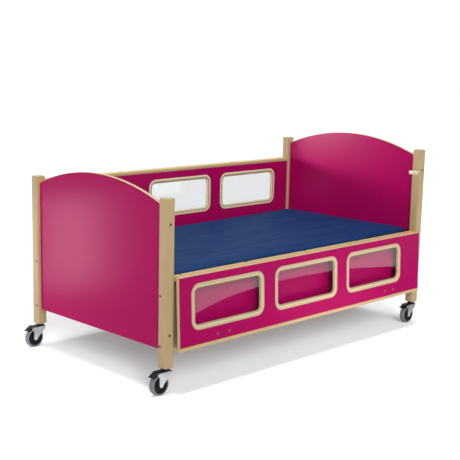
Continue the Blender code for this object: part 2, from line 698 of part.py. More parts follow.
def hinge_leaf(name, first, way, parent):
    """One leaf: a strip with every second knuckle rolled from its own edge; way is -1 down or 1 up."""
    half = FLAP_END - HINGE_END
    pitch = 2 * half / KNUCKLES
    stations = [-half]
    knuckle_starts = []
    for number in range(first, KNUCKLES, 2):
        start = -half + pitch * number + (KNUCKLE_GAP / 2 if number else 0)
        end = -half + pitch * (number + 1) - (KNUCKLE_GAP / 2 if number < KNUCKLES - 1 else 0)
        knuckle_starts.append(start)
        stations += [start, end]
    stations = sorted(set(stations + [half]))
    inner = BARREL_RADIUS - LEAF
    section = [(inner, way * NOTCH), (inner, way * LEAF_REACH)]
    section += [(BARREL_RADIUS, way * LEAF_REACH), (BARREL_RADIUS, way * NOTCH)]
    bm = loft([[(x, y, z) for y, z in section] for x in stations])
    lips = []
    for face in bm.faces:
        middle = face.calc_center_median()
        flat = abs(middle.z - way * NOTCH) < SEAT
        start = min(vert.co.x for vert in face.verts)
        if flat and any(abs(start - knuckle) < KNUCKLE_GAP / 4 for knuckle in knuckle_starts):
            lips.append(face)
    for lip in lips:
        neck = bmesh.ops.extrude_face_region(bm, geom=[lip])["geom"]
        raised = [item for item in neck if isinstance(item, bmesh.types.BMVert)]
        bmesh.ops.translate(bm, vec=(0, 0, -way * NOTCH), verts=raised)
        roll = [item for item in neck if isinstance(item, bmesh.types.BMFace)]
        bmesh.ops.spin(bm, geom=roll, cent=(0, 0, 0), axis=(1, 0, 0), steps=KNUCKLE_STEPS,
                       angle=math.radians(-way * KNUCKLE_WRAP), use_duplicate=False)
        bmesh.ops.delete(bm, geom=[lip, *roll], context="FACES_ONLY")
    return piece(name, bm, finishes["steel"], parent=parent)


hinge_place = empty("hinge_pin_axis", (0, AXIS_Y, AXIS_Z), bed)
fixed_leaf = hinge_leaf("hinge_fixed_leaf", 0, -1, hinge_place)
moving_leaf = hinge_leaf("hinge_moving_leaf", 1, 1, flap)
pin_radius = BARREL_RADIUS - LEAF - PIN_CLEAR
pin_half = FLAP_END - HINGE_END
hinge_pin = aimed(turned([(0, pin_half), (pin_radius, pin_half), (pin_radius, -pin_half), (0, -pin_half)], 8),
                  (0, 0, 0), (1, 0, 0))
piece("hinge_pin", hinge_pin, finishes["steel"], parent=hinge_place)

hinge_screw_x = spaced(FLAP_END - HINGE_SCREW_INSET, HINGE_SCREWS)
leaf_face = BARREL_RADIUS - LEAF
fix(fixed_leaf, [front_cap], "fixed leaf screws",
    [((x, leaf_face, -HINGE_SCREW_REACH), (0, -1, 0)) for x in hinge_screw_x], pan_screw(SMALL_SCREW_LENGTH),
    hinge_place)
fix(moving_leaf, [flap_panel], "moving leaf screws",
    [((x, leaf_face, HINGE_SCREW_REACH), (0, -1, 0)) for x in hinge_screw_x], pan_screw(SMALL_SCREW_LENGTH), flap)

# Handles: they face out when the flap is up, and rest on the fixed board when it hangs
handle_z = FLAP_TOP - HANDLE_DROP
tilt = math.radians(FLAP_TILT)
handle_drop = handle_z - AXIS_Z
board_gap = -SIDE_OUTER - SEAT - AXIS_Y
face_gap = FLAP_FRONT - AXIS_Y
handle_reach = (board_gap + handle_drop * math.sin(tilt) - HANDLE_ROD) / math.cos(tilt) + HANDLE_ROD + face_gap


def make_handle(name, x):
    """A bow handle of round rod with two bends."""
    reach = handle_reach - HANDLE_ROD
    half = HANDLE_SPAN / 2
    bend = HANDLE_BEND
    path = [(-half, -SEAT, 0)]
    path += [(a, b, 0) for a, b in arc(-half + bend, -reach + bend, bend, 180, 270, 4)]
    path += [(a, b, 0) for a, b in arc(half - bend, -reach + bend, bend, 270, 360, 4)]
    path += [(half, -SEAT, 0)]
    return piece(name, rod(path, HANDLE_ROD, 8), finishes["steel"], upright(x, FLAP_FRONT, handle_z), flap)


for end, way in (("foot", -1), ("head", 1)):
    middle = way * (FLAP_END - HANDLE_INSET)
    handle = make_handle(f"{end}_handle", middle)
    places = [(upright(middle + foot, FLAP_BACK, handle_z), (0, 1, 0)) for foot in spaced(HANDLE_SPAN / 2, 2)]
    screw = flat_screw(BOARD + HANDLE_SCREW_GRIP)
    combine(handle, bodies(f"{end} handle screws", places, screw, flap), "UNION")
    combine(flap_panel, bodies(f"{end} handle screw holes", places, countersink(BOARD + SEAT), flap))


def make_latch(end, way):
    """A round bolt that slides in the end of the flap's cap rail, worked by a knob through a slot."""
    tip = way * BOLT_X
    knob = way * (BOLT_X - BOLT_KNOB_BACK)
    shaft = turned([(0, 0), (BOLT_RADIUS - BOLT_CHAMFER, 0), (BOLT_RADIUS, -BOLT_CHAMFER),
                    (BOLT_RADIUS, -BOLT_LENGTH), (0, -BOLT_LENGTH)], 12)
    bolt = piece(f"{end}_latch_bolt", aimed(shaft, (0, 0, 0), (way, 0, 0)), finishes["steel"],
                 upright(tip, FLAP_MIDDLE, FLAP_CAP_Z), flap)
    stem_length = FLAP_MIDDLE - FLAP_CAP_FRONT + KNOB_STAND
    top = stem_length + KNOB_LENGTH
    grip = turned([(0, top), (KNOB_RADIUS - KNOB_CHAMFER, top), (KNOB_RADIUS, top - KNOB_CHAMFER),
                   (KNOB_RADIUS, stem_length), (KNOB_STEM, stem_length), (KNOB_STEM, 0), (0, 0)], 12)
    grip = cutter(f"{end} latch knob", aimed(grip, upright(knob, FLAP_MIDDLE, FLAP_CAP_Z), (0, -1, 0)), flap)
    combine(bolt, grip, "UNION")
    bore_depth = BOLT_BACK + BOLT_LENGTH + SEAT
    bore = turned([(0, BOLT_TRAVEL), (BOLT_RADIUS + CLEAR, BOLT_TRAVEL), (BOLT_RADIUS + CLEAR, -bore_depth),
                   (0, -bore_depth)], 12)
    mouth = upright(way * FLAP_END, FLAP_MIDDLE, FLAP_CAP_Z)
    combine(flap_cap, cutter(f"{end} latch bore", aimed(bore, mouth, (way, 0, 0)), flap))
    room = KNOB_STEM + CLEAR
    ends = sorted((knob - way * room, knob + way * (BOLT_TRAVEL + room)))
    slot = box(upright(ends[0], FLAP_MIDDLE - FLAP_CAP_WIDTH, FLAP_CAP_Z - room),
               upright(ends[1], FLAP_MIDDLE, FLAP_CAP_Z + room))
    combine(flap_cap, cutter(f"{end} latch slot", slot, flap))
    play = BOLT_RADIUS + 2 * CLEAR
    pocket = turned([(0, POCKET_DEPTH), (play, POCKET_DEPTH), (play, -STOP_THICK), (0, -STOP_THICK)], 12)
    return cutter(f"{end} latch pocket", aimed(pocket, (way * INNER_X, FLAP_MIDDLE, FLAP_CAP_Z), (way, 0, 0)), bed)


def make_keeper(end, way, pocket):
    """A moulded keeper on a front post: a plate with the bolt's hole, and a stop for the raised flap."""
    outer = -WIDTH / 2
    stop = FLAP_BACK + STOP_GAP
    reach = -INNER_Y + KEEPER_OVERHANG
    face = way * (INNER_X - SEAT)
    plate_x = sorted((face, face - way * KEEPER))
    stop_x = sorted((face, face - way * STOP_THICK))
    plate_bottom = KEEPER_TOP - KEEPER_HEIGHT
    plate = box((plate_x[0], outer + POST_ROUND / 2, plate_bottom), (plate_x[1], reach, KEEPER_TOP))
    ease(plate, KEEPER / 6)
    keeper = piece(f"{end}_keeper", plate, finishes["cream plastic"], parent=bed)
    block = box((stop_x[0], stop, KEEPER_TOP - STOP_HEIGHT), (stop_x[1], stop + STOP_WIDTH, KEEPER_TOP - SEAT))
    ease(block, STOP_EASE)
    combine(keeper, cutter(f"{end} keeper stop", block, bed), "UNION")
    combine(keeper, pocket)
    combine(posts[end, "front"], pocket)
    place = ((face - way * KEEPER, outer + KEEPER_SCREW_Y, KEEPER_TOP - KEEPER_SCREW_DROP), (-way, 0, 0))
    fix(keeper, [posts[end, "front"]], f"{end} keeper screw", [place], pan_screw(SMALL_SCREW_LENGTH), bed)


for end, way in (("foot", -1), ("head", 1)):
    make_keeper(end, way, make_latch(end, way))


def make_castor(corner, x, y):
    """A braked swivel castor: head with stem and kingpin, fork, axle, wheel, tyre and brake pedal."""
    swivel = empty(f"{corner}_castor_axis", (x, y, 0), bed)
    top = POST_BOTTOM - SEAT
    keep = CROWN_BOTTOM - SEAT
    head = turned([(0, top + STEM_LENGTH), (STEM_RADIUS, top + STEM_LENGTH), (STEM_RADIUS, top), (PLATE_RADIUS, top),
                   (PLATE_RADIUS, top - PLATE_THICK), (RACE_RADIUS, top - PLATE_THICK), (RACE_RADIUS, RACE_BOTTOM),
                   (KINGPIN_RADIUS, RACE_BOTTOM), (KINGPIN_RADIUS, keep), (RIVET_RADIUS, keep),
                   (RIVET_RADIUS - RIVET_CHAMFER, keep - RIVET_HEIGHT), (0, keep - RIVET_HEIGHT)], 12)
    piece(f"{corner}_castor_head", head, finishes["steel"], parent=swivel)

    front = RACE_RADIUS + CROWN_LIP
    ear = PEDAL_X - EAR
    slope = EYE_RADIUS * EYE_SLOPE
    side_view = [(front, CROWN_TOP, 0.002), (ear, CROWN_TOP, 0.003), (ear, CROWN_TOP - EAR_DEPTH, 0.004)]
    side_view += [(-TRAIL - EYE_RADIUS, WHEEL_RADIUS, 0), (-TRAIL - slope, WHEEL_RADIUS - slope, 0)]
    side_view += [(-TRAIL, WHEEL_RADIUS - EYE_RADIUS, 0), (-TRAIL + slope, WHEEL_RADIUS - slope, 0)]
    side_view += [(-TRAIL + EYE_RADIUS, WHEEL_RADIUS, 0), (front, CROWN_TOP - LEG_TOP, 0.006)]
    fork = piece(f"{corner}_castor_fork", extruded(rounded_outline(side_view, 2), "Y", -FORK_OUTER, FORK_OUTER),
                 finishes["steel"], parent=swivel)
    gap = box((ear - LEG, -FORK_INNER, 0), (front + LEG, FORK_INNER, CROWN_BOTTOM))
    combine(fork, cutter(f"{corner} wheel gap", gap, swivel))
    mouth = box((ear - LEG, -FORK_INNER, CROWN_BOTTOM - LEG), (PEDAL_X + EAR_MOUTH, FORK_INNER, CROWN_TOP + LEG))
    combine(fork, cutter(f"{corner} pedal gap", mouth, swivel))
    kingpin = turned([(0, CROWN_TOP + LEG), (KINGPIN_RADIUS + CLEAR, CROWN_TOP + LEG),
                      (KINGPIN_RADIUS + CLEAR, CROWN_BOTTOM - LEG), (0, CROWN_BOTTOM - LEG)], 12)
    combine(fork, cutter(f"{corner} kingpin hole", kingpin, swivel))
    eye = turned([(0, FORK_OUTER + LEG), (AXLE_RADIUS + CLEAR, FORK_OUTER + LEG),
                  (AXLE_RADIUS + CLEAR, -FORK_OUTER - LEG), (0, -FORK_OUTER - LEG)], 8)
    combine(fork, cutter(f"{corner} axle eyes", aimed(eye, (-TRAIL, 0, WHEEL_RADIUS), (0, 1, 0)), swivel))
    seat = FORK_OUTER + SEAT
    axle_half = seat + AXLE_HEAD
    tip = AXLE_HEAD_RADIUS * HEAD_TAPER
    axle = turned([(0, axle_half), (tip, axle_half), (AXLE_HEAD_RADIUS, seat), (AXLE_RADIUS, seat),
                   (AXLE_RADIUS, -seat), (AXLE_HEAD_RADIUS, -seat), (tip, -axle_half), (0, -axle_half)], 8)
    piece(f"{corner}_castor_axle", aimed(axle, (0, 0, 0), (0, 1, 0)), finishes["steel"],
          (-TRAIL, 0, WHEEL_RADIUS), swivel)
    pin_hole = turned([(0, FORK_OUTER + LEG), (PEDAL_PIN + CLEAR, FORK_OUTER + LEG),
                       (PEDAL_PIN + CLEAR, -FORK_OUTER - LEG), (0, -FORK_OUTER - LEG)], 8)
    pin_hole = aimed(pin_hole, (PEDAL_X, 0, PEDAL_Z), (0, 1, 0))
    combine(fork, cutter(f"{corner} pedal pin hole", pin_hole, swivel))

    rim = WHEEL_RADIUS - TREAD
    half = [(AXLE_RADIUS + CLEAR, HUB_HALF), (HUB_RADIUS, HUB_HALF), (rim - RIM_WALL, WEB_HALF)]
    half += [(rim - SEAT, WHEEL_HALF - RIM_STEP)]
    centre = turned(half + [(radius, -width) for radius, width in reversed(half)], WHEEL_SIDES)
    piece(f"{corner}_castor_wheel", aimed(centre, (0, 0, 0), (0, 1, 0)), finishes["black plastic"],
          (-TRAIL, 0, WHEEL_RADIUS), swivel)
    half = [(rim, WHEEL_HALF), (WHEEL_RADIUS - TREAD_SHOULDER, WHEEL_HALF - TREAD_SHOULDER / 4)]
    half += [(WHEEL_RADIUS, WHEEL_HALF - TREAD_SHOULDER)]
    tyre = turned(half + [(radius, -width) for radius, width in reversed(half)], WHEEL_SIDES)
    piece(f"{corner}_castor_tyre", aimed(tyre, (0, 0, 0), (0, 1, 0)), finishes["grey tread"],
          (-TRAIL, 0, WHEEL_RADIUS), swivel)

    pedal_half = FORK_INNER - PEDAL_PLAY
    pedal = piece(f"{corner}_brake_pedal", extruded(pedal_outline(), "Y", -pedal_half, pedal_half),
                  finishes["black plastic"], (PEDAL_X, 0, PEDAL_Z), swivel)
    pin = turned([(0, FORK_OUTER), (PEDAL_PIN, FORK_OUTER), (PEDAL_PIN, -FORK_OUTER), (0, -FORK_OUTER)], 8)
    pin = aimed(pin, (PEDAL_X, 0, PEDAL_Z), (0, 1, 0))
    combine(pedal, cutter(f"{corner} pedal pin", pin, swivel), "UNION")


for end, sx in (("foot", -1), ("head", 1)):
    for side, sy in (("front", -1), ("rear", 1)):
        make_castor(f"{end}_{side}", sx * POST_X, sy * POST_Y)
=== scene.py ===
"""Safety bed on castors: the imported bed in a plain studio, with its real finishes and small fittings."""
import json
import math

import bmesh
import bpy
from mathutils import Matrix, Vector


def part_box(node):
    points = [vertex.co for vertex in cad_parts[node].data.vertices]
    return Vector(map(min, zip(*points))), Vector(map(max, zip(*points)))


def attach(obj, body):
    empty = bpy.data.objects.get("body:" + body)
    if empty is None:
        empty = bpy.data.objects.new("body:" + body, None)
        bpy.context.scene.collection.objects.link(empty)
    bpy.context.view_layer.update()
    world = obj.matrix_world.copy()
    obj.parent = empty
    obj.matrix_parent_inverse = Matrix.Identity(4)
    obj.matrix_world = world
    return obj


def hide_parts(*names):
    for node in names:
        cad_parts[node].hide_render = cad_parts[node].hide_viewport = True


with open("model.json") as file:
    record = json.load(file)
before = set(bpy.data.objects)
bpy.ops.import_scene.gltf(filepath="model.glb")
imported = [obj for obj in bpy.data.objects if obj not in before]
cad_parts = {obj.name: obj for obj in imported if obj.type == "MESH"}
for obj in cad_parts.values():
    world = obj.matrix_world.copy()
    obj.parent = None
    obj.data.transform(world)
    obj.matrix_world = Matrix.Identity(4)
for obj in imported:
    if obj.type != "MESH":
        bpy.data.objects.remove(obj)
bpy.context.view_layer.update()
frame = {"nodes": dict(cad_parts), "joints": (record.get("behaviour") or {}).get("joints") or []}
nodes = frame["nodes"]
scene = bpy.context.scene


# The view. The photograph looks at the foot and the open front from a little above the rails. The camera's
# place comes from the corners of the four posts, so it is given about the middle of the posts.
SENSOR_MM = 36
IMAGE_PIXELS = 460
FOCAL_PIXELS = 985.428
foot_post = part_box("foot_front_post")
head_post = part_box("head_rear_post")
bed_middle = Vector(((foot_post[0].x + head_post[1].x) / 2, (foot_post[0].y + head_post[1].y) / 2, 0))
azimuth = math.radians(-43.671)
elevation = math.radians(10.684)
tilt = math.radians(0.962)
distance, aside, above = 5.49, 0.207, 0.031
back = Vector((math.sin(azimuth) * math.cos(elevation), -math.cos(azimuth) * math.cos(elevation),
               math.sin(elevation)))
level_right = (-back).cross(Vector((0, 0, 1))).normalized()
level_up = level_right.cross(-back)
right = level_right * math.cos(tilt) + level_up * math.sin(tilt)
up = level_up * math.cos(tilt) - level_right * math.sin(tilt)
eye = bed_middle + Vector((0, 0, 0.5)) + back * distance - right * aside + up * above
camera = bpy.data.objects.new("camera", bpy.data.cameras.new("camera"))
camera.matrix_world = Matrix.Translation(eye) @ Matrix((right, up, back)).transposed().to_4x4()
camera.data.sensor_width = SENSOR_MM
camera.data.lens = SENSOR_MM * FOCAL_PIXELS / IMAGE_PIXELS
camera.data.shift_x = 30 / IMAGE_PIXELS
camera.data.shift_y = 10 / IMAGE_PIXELS
scene.collection.objects.link(camera)
scene.camera = camera
scene.view_settings.view_transform = "Standard"


# The studio. A flat white floor, an overhead sun that puts the shadow straight below the bed, a wide fill
# from the front, and soft boxes whose sheen lies on the end boards and on the hanging flap.
def paint(hexa):
    """An sRGB hex colour as linear RGBA."""
    channels = [int(hexa[place:place + 2], 16) / 255 for place in (1, 3, 5)]
    return [c / 12.92 if c <= 0.04045 else ((c + 0.055) / 1.055) ** 2.4 for c in channels] + [1.0]


def add(tree, kind, inputs=None, **settings):
    """Add a node with its settings; an input is linked where it is given a socket, and set otherwise."""
    node = tree.nodes.new(kind)
    for name, value in settings.items():
        setattr(node, name, value)
    for name, value in (inputs or {}).items():
        if isinstance(value, bpy.types.NodeSocket):
            tree.links.new(value, node.inputs[name])
        else:
            node.inputs[name].default_value = value
    return node


def new_material(name):
    """An empty material and its node tree."""
    material = bpy.data.materials.new(name)
    material.use_nodes = True
    material.node_tree.nodes.clear()
    return material, material.node_tree


def show(obj):
    """Put a new object in the scene."""
    scene.collection.objects.link(obj)
    return obj


def calculate(tree, operation, *values, **settings):
    """What one maths node makes of its values."""
    return add(tree, "ShaderNodeMath", dict(enumerate(values)), operation=operation, **settings).outputs[0]


def mapped(tree, value, target, source=(0.0, 1.0)):
    """A value carried over from its source range to its target range."""
    return add(tree, "ShaderNodeMapRange", {"Value": value, "From Min": source[0], "From Max": source[1],
                                            "To Min": target[0], "To Max": target[1]}).outputs[0]


def seen_directly(tree):
    """1 for a ray that looks, from the camera, off a gloss or through a pane, and 0 for one that lights."""
    path = add(tree, "ShaderNodeLightPath").outputs
    seen = path["Is Camera Ray"]
    for kind in ("Is Glossy Ray", "Is Transmission Ray"):
        seen = calculate(tree, "MAXIMUM", seen, path[kind])
    return seen


FLOOR_GLOW = 0.14
FLOOR_EDGE = 30
floor_finish, tree = new_material("matt white studio floor")
glow = calculate(tree, "MULTIPLY", seen_directly(tree), FLOOR_GLOW)
lift = add(tree, "ShaderNodeEmission", {"Color": paint("#FFFFFF"), "Strength": glow})
matt = add(tree, "ShaderNodeBsdfDiffuse", {"Color": paint("#EBF0F2"), "Roughness": 0.6})
both = add(tree, "ShaderNodeAddShader", {0: lift.outputs[0], 1: matt.outputs[0]})
add(tree, "ShaderNodeOutputMaterial", {"Surface": both.outputs[0]})
floor_mesh = bpy.data.meshes.new("studio_floor")
floor_corners = [(x * FLOOR_EDGE, y * FLOOR_EDGE, 0) for x, y in ((-1, -1), (1, -1), (1, 1), (-1, 1))]
floor_mesh.from_pydata(floor_corners, [], [(0, 1, 2, 3)])
floor_mesh.materials.append(floor_finish)
show(bpy.data.objects.new("studio_floor", floor_mesh))

# The sky is brighter towards the horizon: that lights upright boards evenly and keeps the bed's shadow.
HORIZON_LIGHT, ZENITH_LIGHT = 0.64, 0.30
world = bpy.data.worlds.new("white studio")
world.use_nodes = True
tree = world.node_tree
tree.nodes.clear()
ray = add(tree, "ShaderNodeTexCoord").outputs["Generated"]
height = add(tree, "ShaderNodeSeparateXYZ", {"Vector": ray}).outputs["Z"]
dome = mapped(tree, height, (HORIZON_LIGHT, ZENITH_LIGHT), (0.0, 0.7))
level = add(tree, "ShaderNodeMix", {0: seen_directly(tree), 2: dome, 3: 1.0}, data_type="FLOAT")
sky = add(tree, "ShaderNodeBackground", {"Color": paint("#FFFFFF"), "Strength": level.outputs[0]})
add(tree, "ShaderNodeOutputWorld", {"Surface": sky.outputs[0]})
scene.world = world


def sun(name, strength, spread, towards):
    """A distant lamp, shining towards a direction, with its spread in degrees."""
    lamp = bpy.data.lights.new(name, "SUN")
    lamp.energy = strength
    lamp.angle = math.radians(spread)
    made = show(bpy.data.objects.new(name, lamp))
    made.rotation_euler = Vector(towards).to_track_quat("-Z", "Y").to_euler()


def soft_box(name, power, place, target, width, height, spread=180, gel="#FFFFFF", mirrored=True):
    """A rectangular soft box aimed at a point. Its spread, in degrees, is how far its grid lets the light fan
    out, and its picture shows in glossy things and in panes only where it is mirrored."""
    lamp = bpy.data.lights.new(name, "AREA")
    lamp.color = paint(gel)[:3]
    lamp.spread = math.radians(spread)
    lamp.shape = "RECTANGLE"
    lamp.size = width
    lamp.size_y = height
    lamp.energy = power
    made = show(bpy.data.objects.new(name, lamp))
    made.visible_camera = False
    made.visible_glossy = mirrored
    made.visible_transmission = mirrored
    made.location = place
    made.rotation_euler = (Vector(target) - Vector(place)).to_track_quat("-Z", "Y").to_euler()


sun("overhead", strength=1.7, spread=8, towards=(0.02, -0.02, -1))
sun("front fill", strength=1.6, spread=30, towards=(0.46, 0.75, -0.48))
soft_box("foot board box", power=1.10, place=(-1.85, 1.44, 0.32), target=(-0.95, 0.20, 0.50),
         width=0.40, height=0.6, spread=60, gel="#FFDDEF")
soft_box("floor box", power=0.45, place=(-2.2, 0.3, 0.09), target=(-0.9, 0.15, -0.02),
         width=0.9, height=0.10, spread=24, gel="#F2FBFF", mirrored=False)
soft_box("head board box", power=3.2, place=(-0.70, 1.75, 1.06), target=(0.96, 0.22, 0.94),
         width=0.6, height=0.3, spread=50)
soft_box("well box", power=8.0, place=(-1.0, -0.2, 2.2), target=(0.95, 0.0, 1.0), width=1.0, height=0.4)
soft_box("flap box", power=0.90, place=(1.08, -1.32, 0.043), target=(1.08, -0.56, 0.075),
         width=0.9, height=0.065, gel="#FFD6EA")
soft_box("flap fill", power=0.85, place=(0.18, -1.25, 0.06), target=(0.20, -0.56, 0.14),
         width=0.8, height=0.10, spread=90, gel="#FFDCEC", mirrored=False)

# A dark flag with one curved edge lies on the floor in front, seen only in reflections, also those inside a
# pane. Its edge is the line where the sheen on the flap's panes ends. Its felt stops reflected rays and
# shadow rays, and is clear to all others.
FLAG_LIFT = 0.001
flag_finish, tree = new_material("black felt")
path = add(tree, "ShaderNodeLightPath").outputs
mirrored = calculate(tree, "GREATER_THAN", path["Glossy Depth"], 0.5)
stopped = calculate(tree, "MAXIMUM", mirrored, path["Is Shadow Ray"])
felt = add(tree, "ShaderNodeBsdfDiffuse", {"Color": paint("#0C0C0C")})
away = add(tree, "ShaderNodeBsdfTransparent")
felt = add(tree, "ShaderNodeMixShader", {0: stopped, 1: away.outputs[0], 2: felt.outputs[0]})
add(tree, "ShaderNodeOutputMaterial", {"Surface": felt.outputs[0]})
flag_mesh = bpy.data.meshes.new("studio_flag")
rim = [(-0.75, -1.15), (-0.15, -1.58), (0.18, -1.755), (0.469, -1.895), (0.71, -2.010), (0.945, -2.105)]
rim += [(1.15, -2.165), (1.346, -2.208), (1.673, -2.262), (1.972, -2.262), (2.251, -2.224), (2.437, -2.160)]
rim += [(2.596, -2.045), (2.72, -1.905), (3.0, -1.55), (3.2, -0.60), (-0.75, -0.60)]
flag_mesh.from_pydata([(x, y, FLAG_LIFT) for x, y in rim], [], [tuple(range(len(rim)))])
flag_mesh.materials.append(flag_finish)
flag = show(bpy.data.objects.new("studio_flag", flag_mesh))
flag.visible_camera = False
flag.visible_diffuse = False
flag.visible_shadow = False
# A second flag stands behind the rear windows, out of sight. It keeps the head board box's light out of them,
# and off the rear post beside the head board.
SCREEN_Y = 0.62
rim = [(-0.85, 0.62), (0.92, 0.62), (0.92, 0.86), (-0.85, 0.86), (0.74, 0.86), (0.92, 1.16), (0.74, 1.16)]
screen_mesh = bpy.data.meshes.new("studio_window_flag")
screen_mesh.from_pydata([(x, SCREEN_Y, z) for x, z in rim], [], [(0, 1, 2, 4, 3), (4, 2, 5, 6)])
screen_mesh.materials.append(flag_finish)
screen = show(bpy.data.objects.new("studio_window_flag", screen_mesh))
screen.visible_camera = False
screen.visible_glossy = False
screen.visible_transmission = False
screen.visible_diffuse = False


# Four posts of planed hardwood, 52 mm square with round arrises, in clear satin varnish. Blackened cap screws
# are sunk in their outer faces and pull the boards tight between them.
def pattern_space(tree, place=None):
    """Object coordinates, turned to a place that is given as its location and its rotation."""
    where = add(tree, "ShaderNodeTexCoord").outputs["Object"]
    if place:
        where = add(tree, "ShaderNodeMapping", {"Vector": where, "Location": place[0], "Rotation": place[1]},
                    vector_type="TEXTURE").outputs[0]
    return where


def noise(tree, where, scale, detail, **more):
    """Noise with about so many lumps to the metre."""
    return add(tree, "ShaderNodeTexNoise", {"Vector": where, "Scale": scale, "Detail": detail,
                                            **more}).outputs[0]


def mixed(tree, share, one, two):
    """A colour between two others, each given as a hex colour or as a socket."""
    one, two = (paint(end) if isinstance(end, str) else end for end in (one, two))
    return add(tree, "ShaderNodeMix", {0: share, 6: one, 7: two}, data_type="RGBA").outputs[2]


def relief(tree, height, strength, depth, **more):
    """A figure as relief, with how strongly it shades and how many metres deep it is."""
    return add(tree, "ShaderNodeBump", {"Height": height, "Strength": strength, "Distance": depth,
                                        **more}).outputs[0]


def coat(tree, looks):
    """End a material's tree with one principled surface."""
    skin = add(tree, "ShaderNodeBsdfPrincipled", looks)
    add(tree, "ShaderNodeOutputMaterial", {"Surface": skin.outputs[0]})


def wood(name, grain, light, dark, roughness, width_mm=9.0, place=None, shine=0.2):
    """Varnished wood whose grain runs along one axis (0, 1 or 2). width_mm is the width of its broad figure,
    and shine the varnish's specular level."""
    material, tree = new_material(name)
    squeeze = [1.0, 1.0, 1.0]
    squeeze[grain] = 1 / 26.0  # the figure is that much longer than it is wide
    along = add(tree, "ShaderNodeMapping", {"Vector": pattern_space(tree, place), "Scale": squeeze})
    along = along.outputs[0]
    figure = noise(tree, along, 1000 / width_mm, 5.0, Roughness=0.6, Distortion=0.4)
    # pores 1.6 mm wide, and bands of tone 60 mm wide
    pores = noise(tree, along, 1000 / 1.6, 2.0, Roughness=0.5)
    bands = noise(tree, along, 1000 / 60.0, 1.0)
    tone = calculate(tree, "MULTIPLY", mapped(tree, figure, (0.0, 1.0), (0.30, 0.72)), 0.60)
    tone = calculate(tree, "MULTIPLY_ADD", bands, 0.55, tone)
    streak = mapped(tree, pores, (0.0, 0.35), (0.62, 0.80))
    colour = mixed(tree, streak, mixed(tree, tone, light, dark), "#8A6B42")
    rough = mapped(tree, figure, (roughness - 0.06, roughness + 0.08))
    coat(tree, {"Base Color": colour, "Roughness": rough, "Normal": relief(tree, pores, 0.10, 0.0004),
                "IOR": 1.5, "Specular IOR Level": shine})
    return material


def finish_node(name, material):
    """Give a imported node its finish."""
    mesh = nodes[name].data
    mesh.materials.clear()
    mesh.materials.append(material)


corners = ("foot_front", "foot_rear", "head_front", "head_rear")
# Beech, planed and clear varnished: pale straw brown with short fine flecks and hardly any broad figure
post_beech = wood("varnished beech post", 2, "#BEA67F", "#A99166", 0.42)
for corner in corners:
    finish_node(f"{corner}_post", post_beech)

# Cap screws: blackened steel, so nearly black with a soft grey sheen on the rim
blackened_steel, tree = new_material("blackened steel")
wear = noise(tree, pattern_space(tree), 900.0, 3.0)
coat(tree, {"Base Color": paint("#34363A"), "Metallic": 0.4, "Roughness": mapped(tree, wear, (0.28, 0.48))})


def fixing_tree(name, sides_of_tool):
    """A node tree that puts a screw head on every point, turned to the point's aim. The recess is for a
    hexagon key where its tool has six sides, and for a cross-head driver where it has four."""
    tree = bpy.data.node_groups.new(name, "GeometryNodeTree")
    face = tree.interface
    face.new_socket("Points", in_out="INPUT", socket_type="NodeSocketGeometry")
    for label in ("Radius", "Rim radius", "Height", "Recess", "Recess depth"):
        face.new_socket(label, in_out="INPUT", socket_type="NodeSocketFloat")
    face.new_socket("Finish", in_out="INPUT", socket_type="NodeSocketMaterial")
    face.new_socket("Heads", in_out="OUTPUT", socket_type="NodeSocketGeometry")
    given = add(tree, "NodeGroupInput").outputs
    head = add(tree, "GeometryNodeMeshCone", {"Vertices": 28, "Radius Bottom": given["Radius"],
                                              "Radius Top": given["Rim radius"], "Depth": given["Height"]})
    deep = calculate(tree, "MULTIPLY", given["Recess depth"], 2.0)
    on_top = add(tree, "ShaderNodeCombineXYZ", {"Z": given["Height"]}).outputs[0]
    if sides_of_tool == 6:
        key = add(tree, "GeometryNodeMeshCylinder", {"Vertices": 6, "Radius": given["Recess"], "Depth": deep})
        tool = add(tree, "GeometryNodeTransform", {"Geometry": key.outputs["Mesh"], "Translation": on_top})
    else:
        slim = calculate(tree, "MULTIPLY", given["Recess"], 0.42)
        wide = calculate(tree, "MULTIPLY", given["Recess"], 2.0)
        tool = add(tree, "GeometryNodeMeshBoolean", operation="UNION", solver="EXACT")
        for x, y in ((wide, slim), (slim, wide)):
            size = add(tree, "ShaderNodeCombineXYZ", {"X": x, "Y": y, "Z": deep})
            bar = add(tree, "GeometryNodeMeshCube", {"Size": size.outputs[0]}).outputs["Mesh"]
            bar = add(tree, "GeometryNodeTransform", {"Geometry": bar, "Translation": on_top})
            tree.links.new(bar.outputs[0], tool.inputs["Mesh 2"])
    cut = add(tree, "GeometryNodeMeshBoolean", {"Mesh 1": head.outputs["Mesh"], "Mesh 2": tool.outputs[0]},
              operation="DIFFERENCE", solver="EXACT")
    aim = add(tree, "GeometryNodeInputNamedAttribute", {"Name": "aim"}, data_type="FLOAT_VECTOR")
    turn = add(tree, "FunctionNodeAlignRotationToVector", {"Vector": aim.outputs["Attribute"]}, axis="Z")
    spread = add(tree, "GeometryNodeInstanceOnPoints", {"Points": given["Points"], "Instance": cut.outputs[0],
                                                        "Rotation": turn.outputs[0]})
    real = add(tree, "GeometryNodeRealizeInstances", {"Geometry": spread.outputs[0]})
    done = add(tree, "GeometryNodeSetMaterial", {"Geometry": real.outputs[0], "Material": given["Finish"]})
    add(tree, "NodeGroupOutput", {"Heads": done.outputs[0]})
    return tree


def frozen(obj):
    """What an object's modifiers make of its mesh, as a plain mesh. The modifiers are taken off."""
    mesh = bpy.data.meshes.new_from_object(obj.evaluated_get(bpy.context.evaluated_depsgraph_get()))
    obj.modifiers.clear()
    return mesh


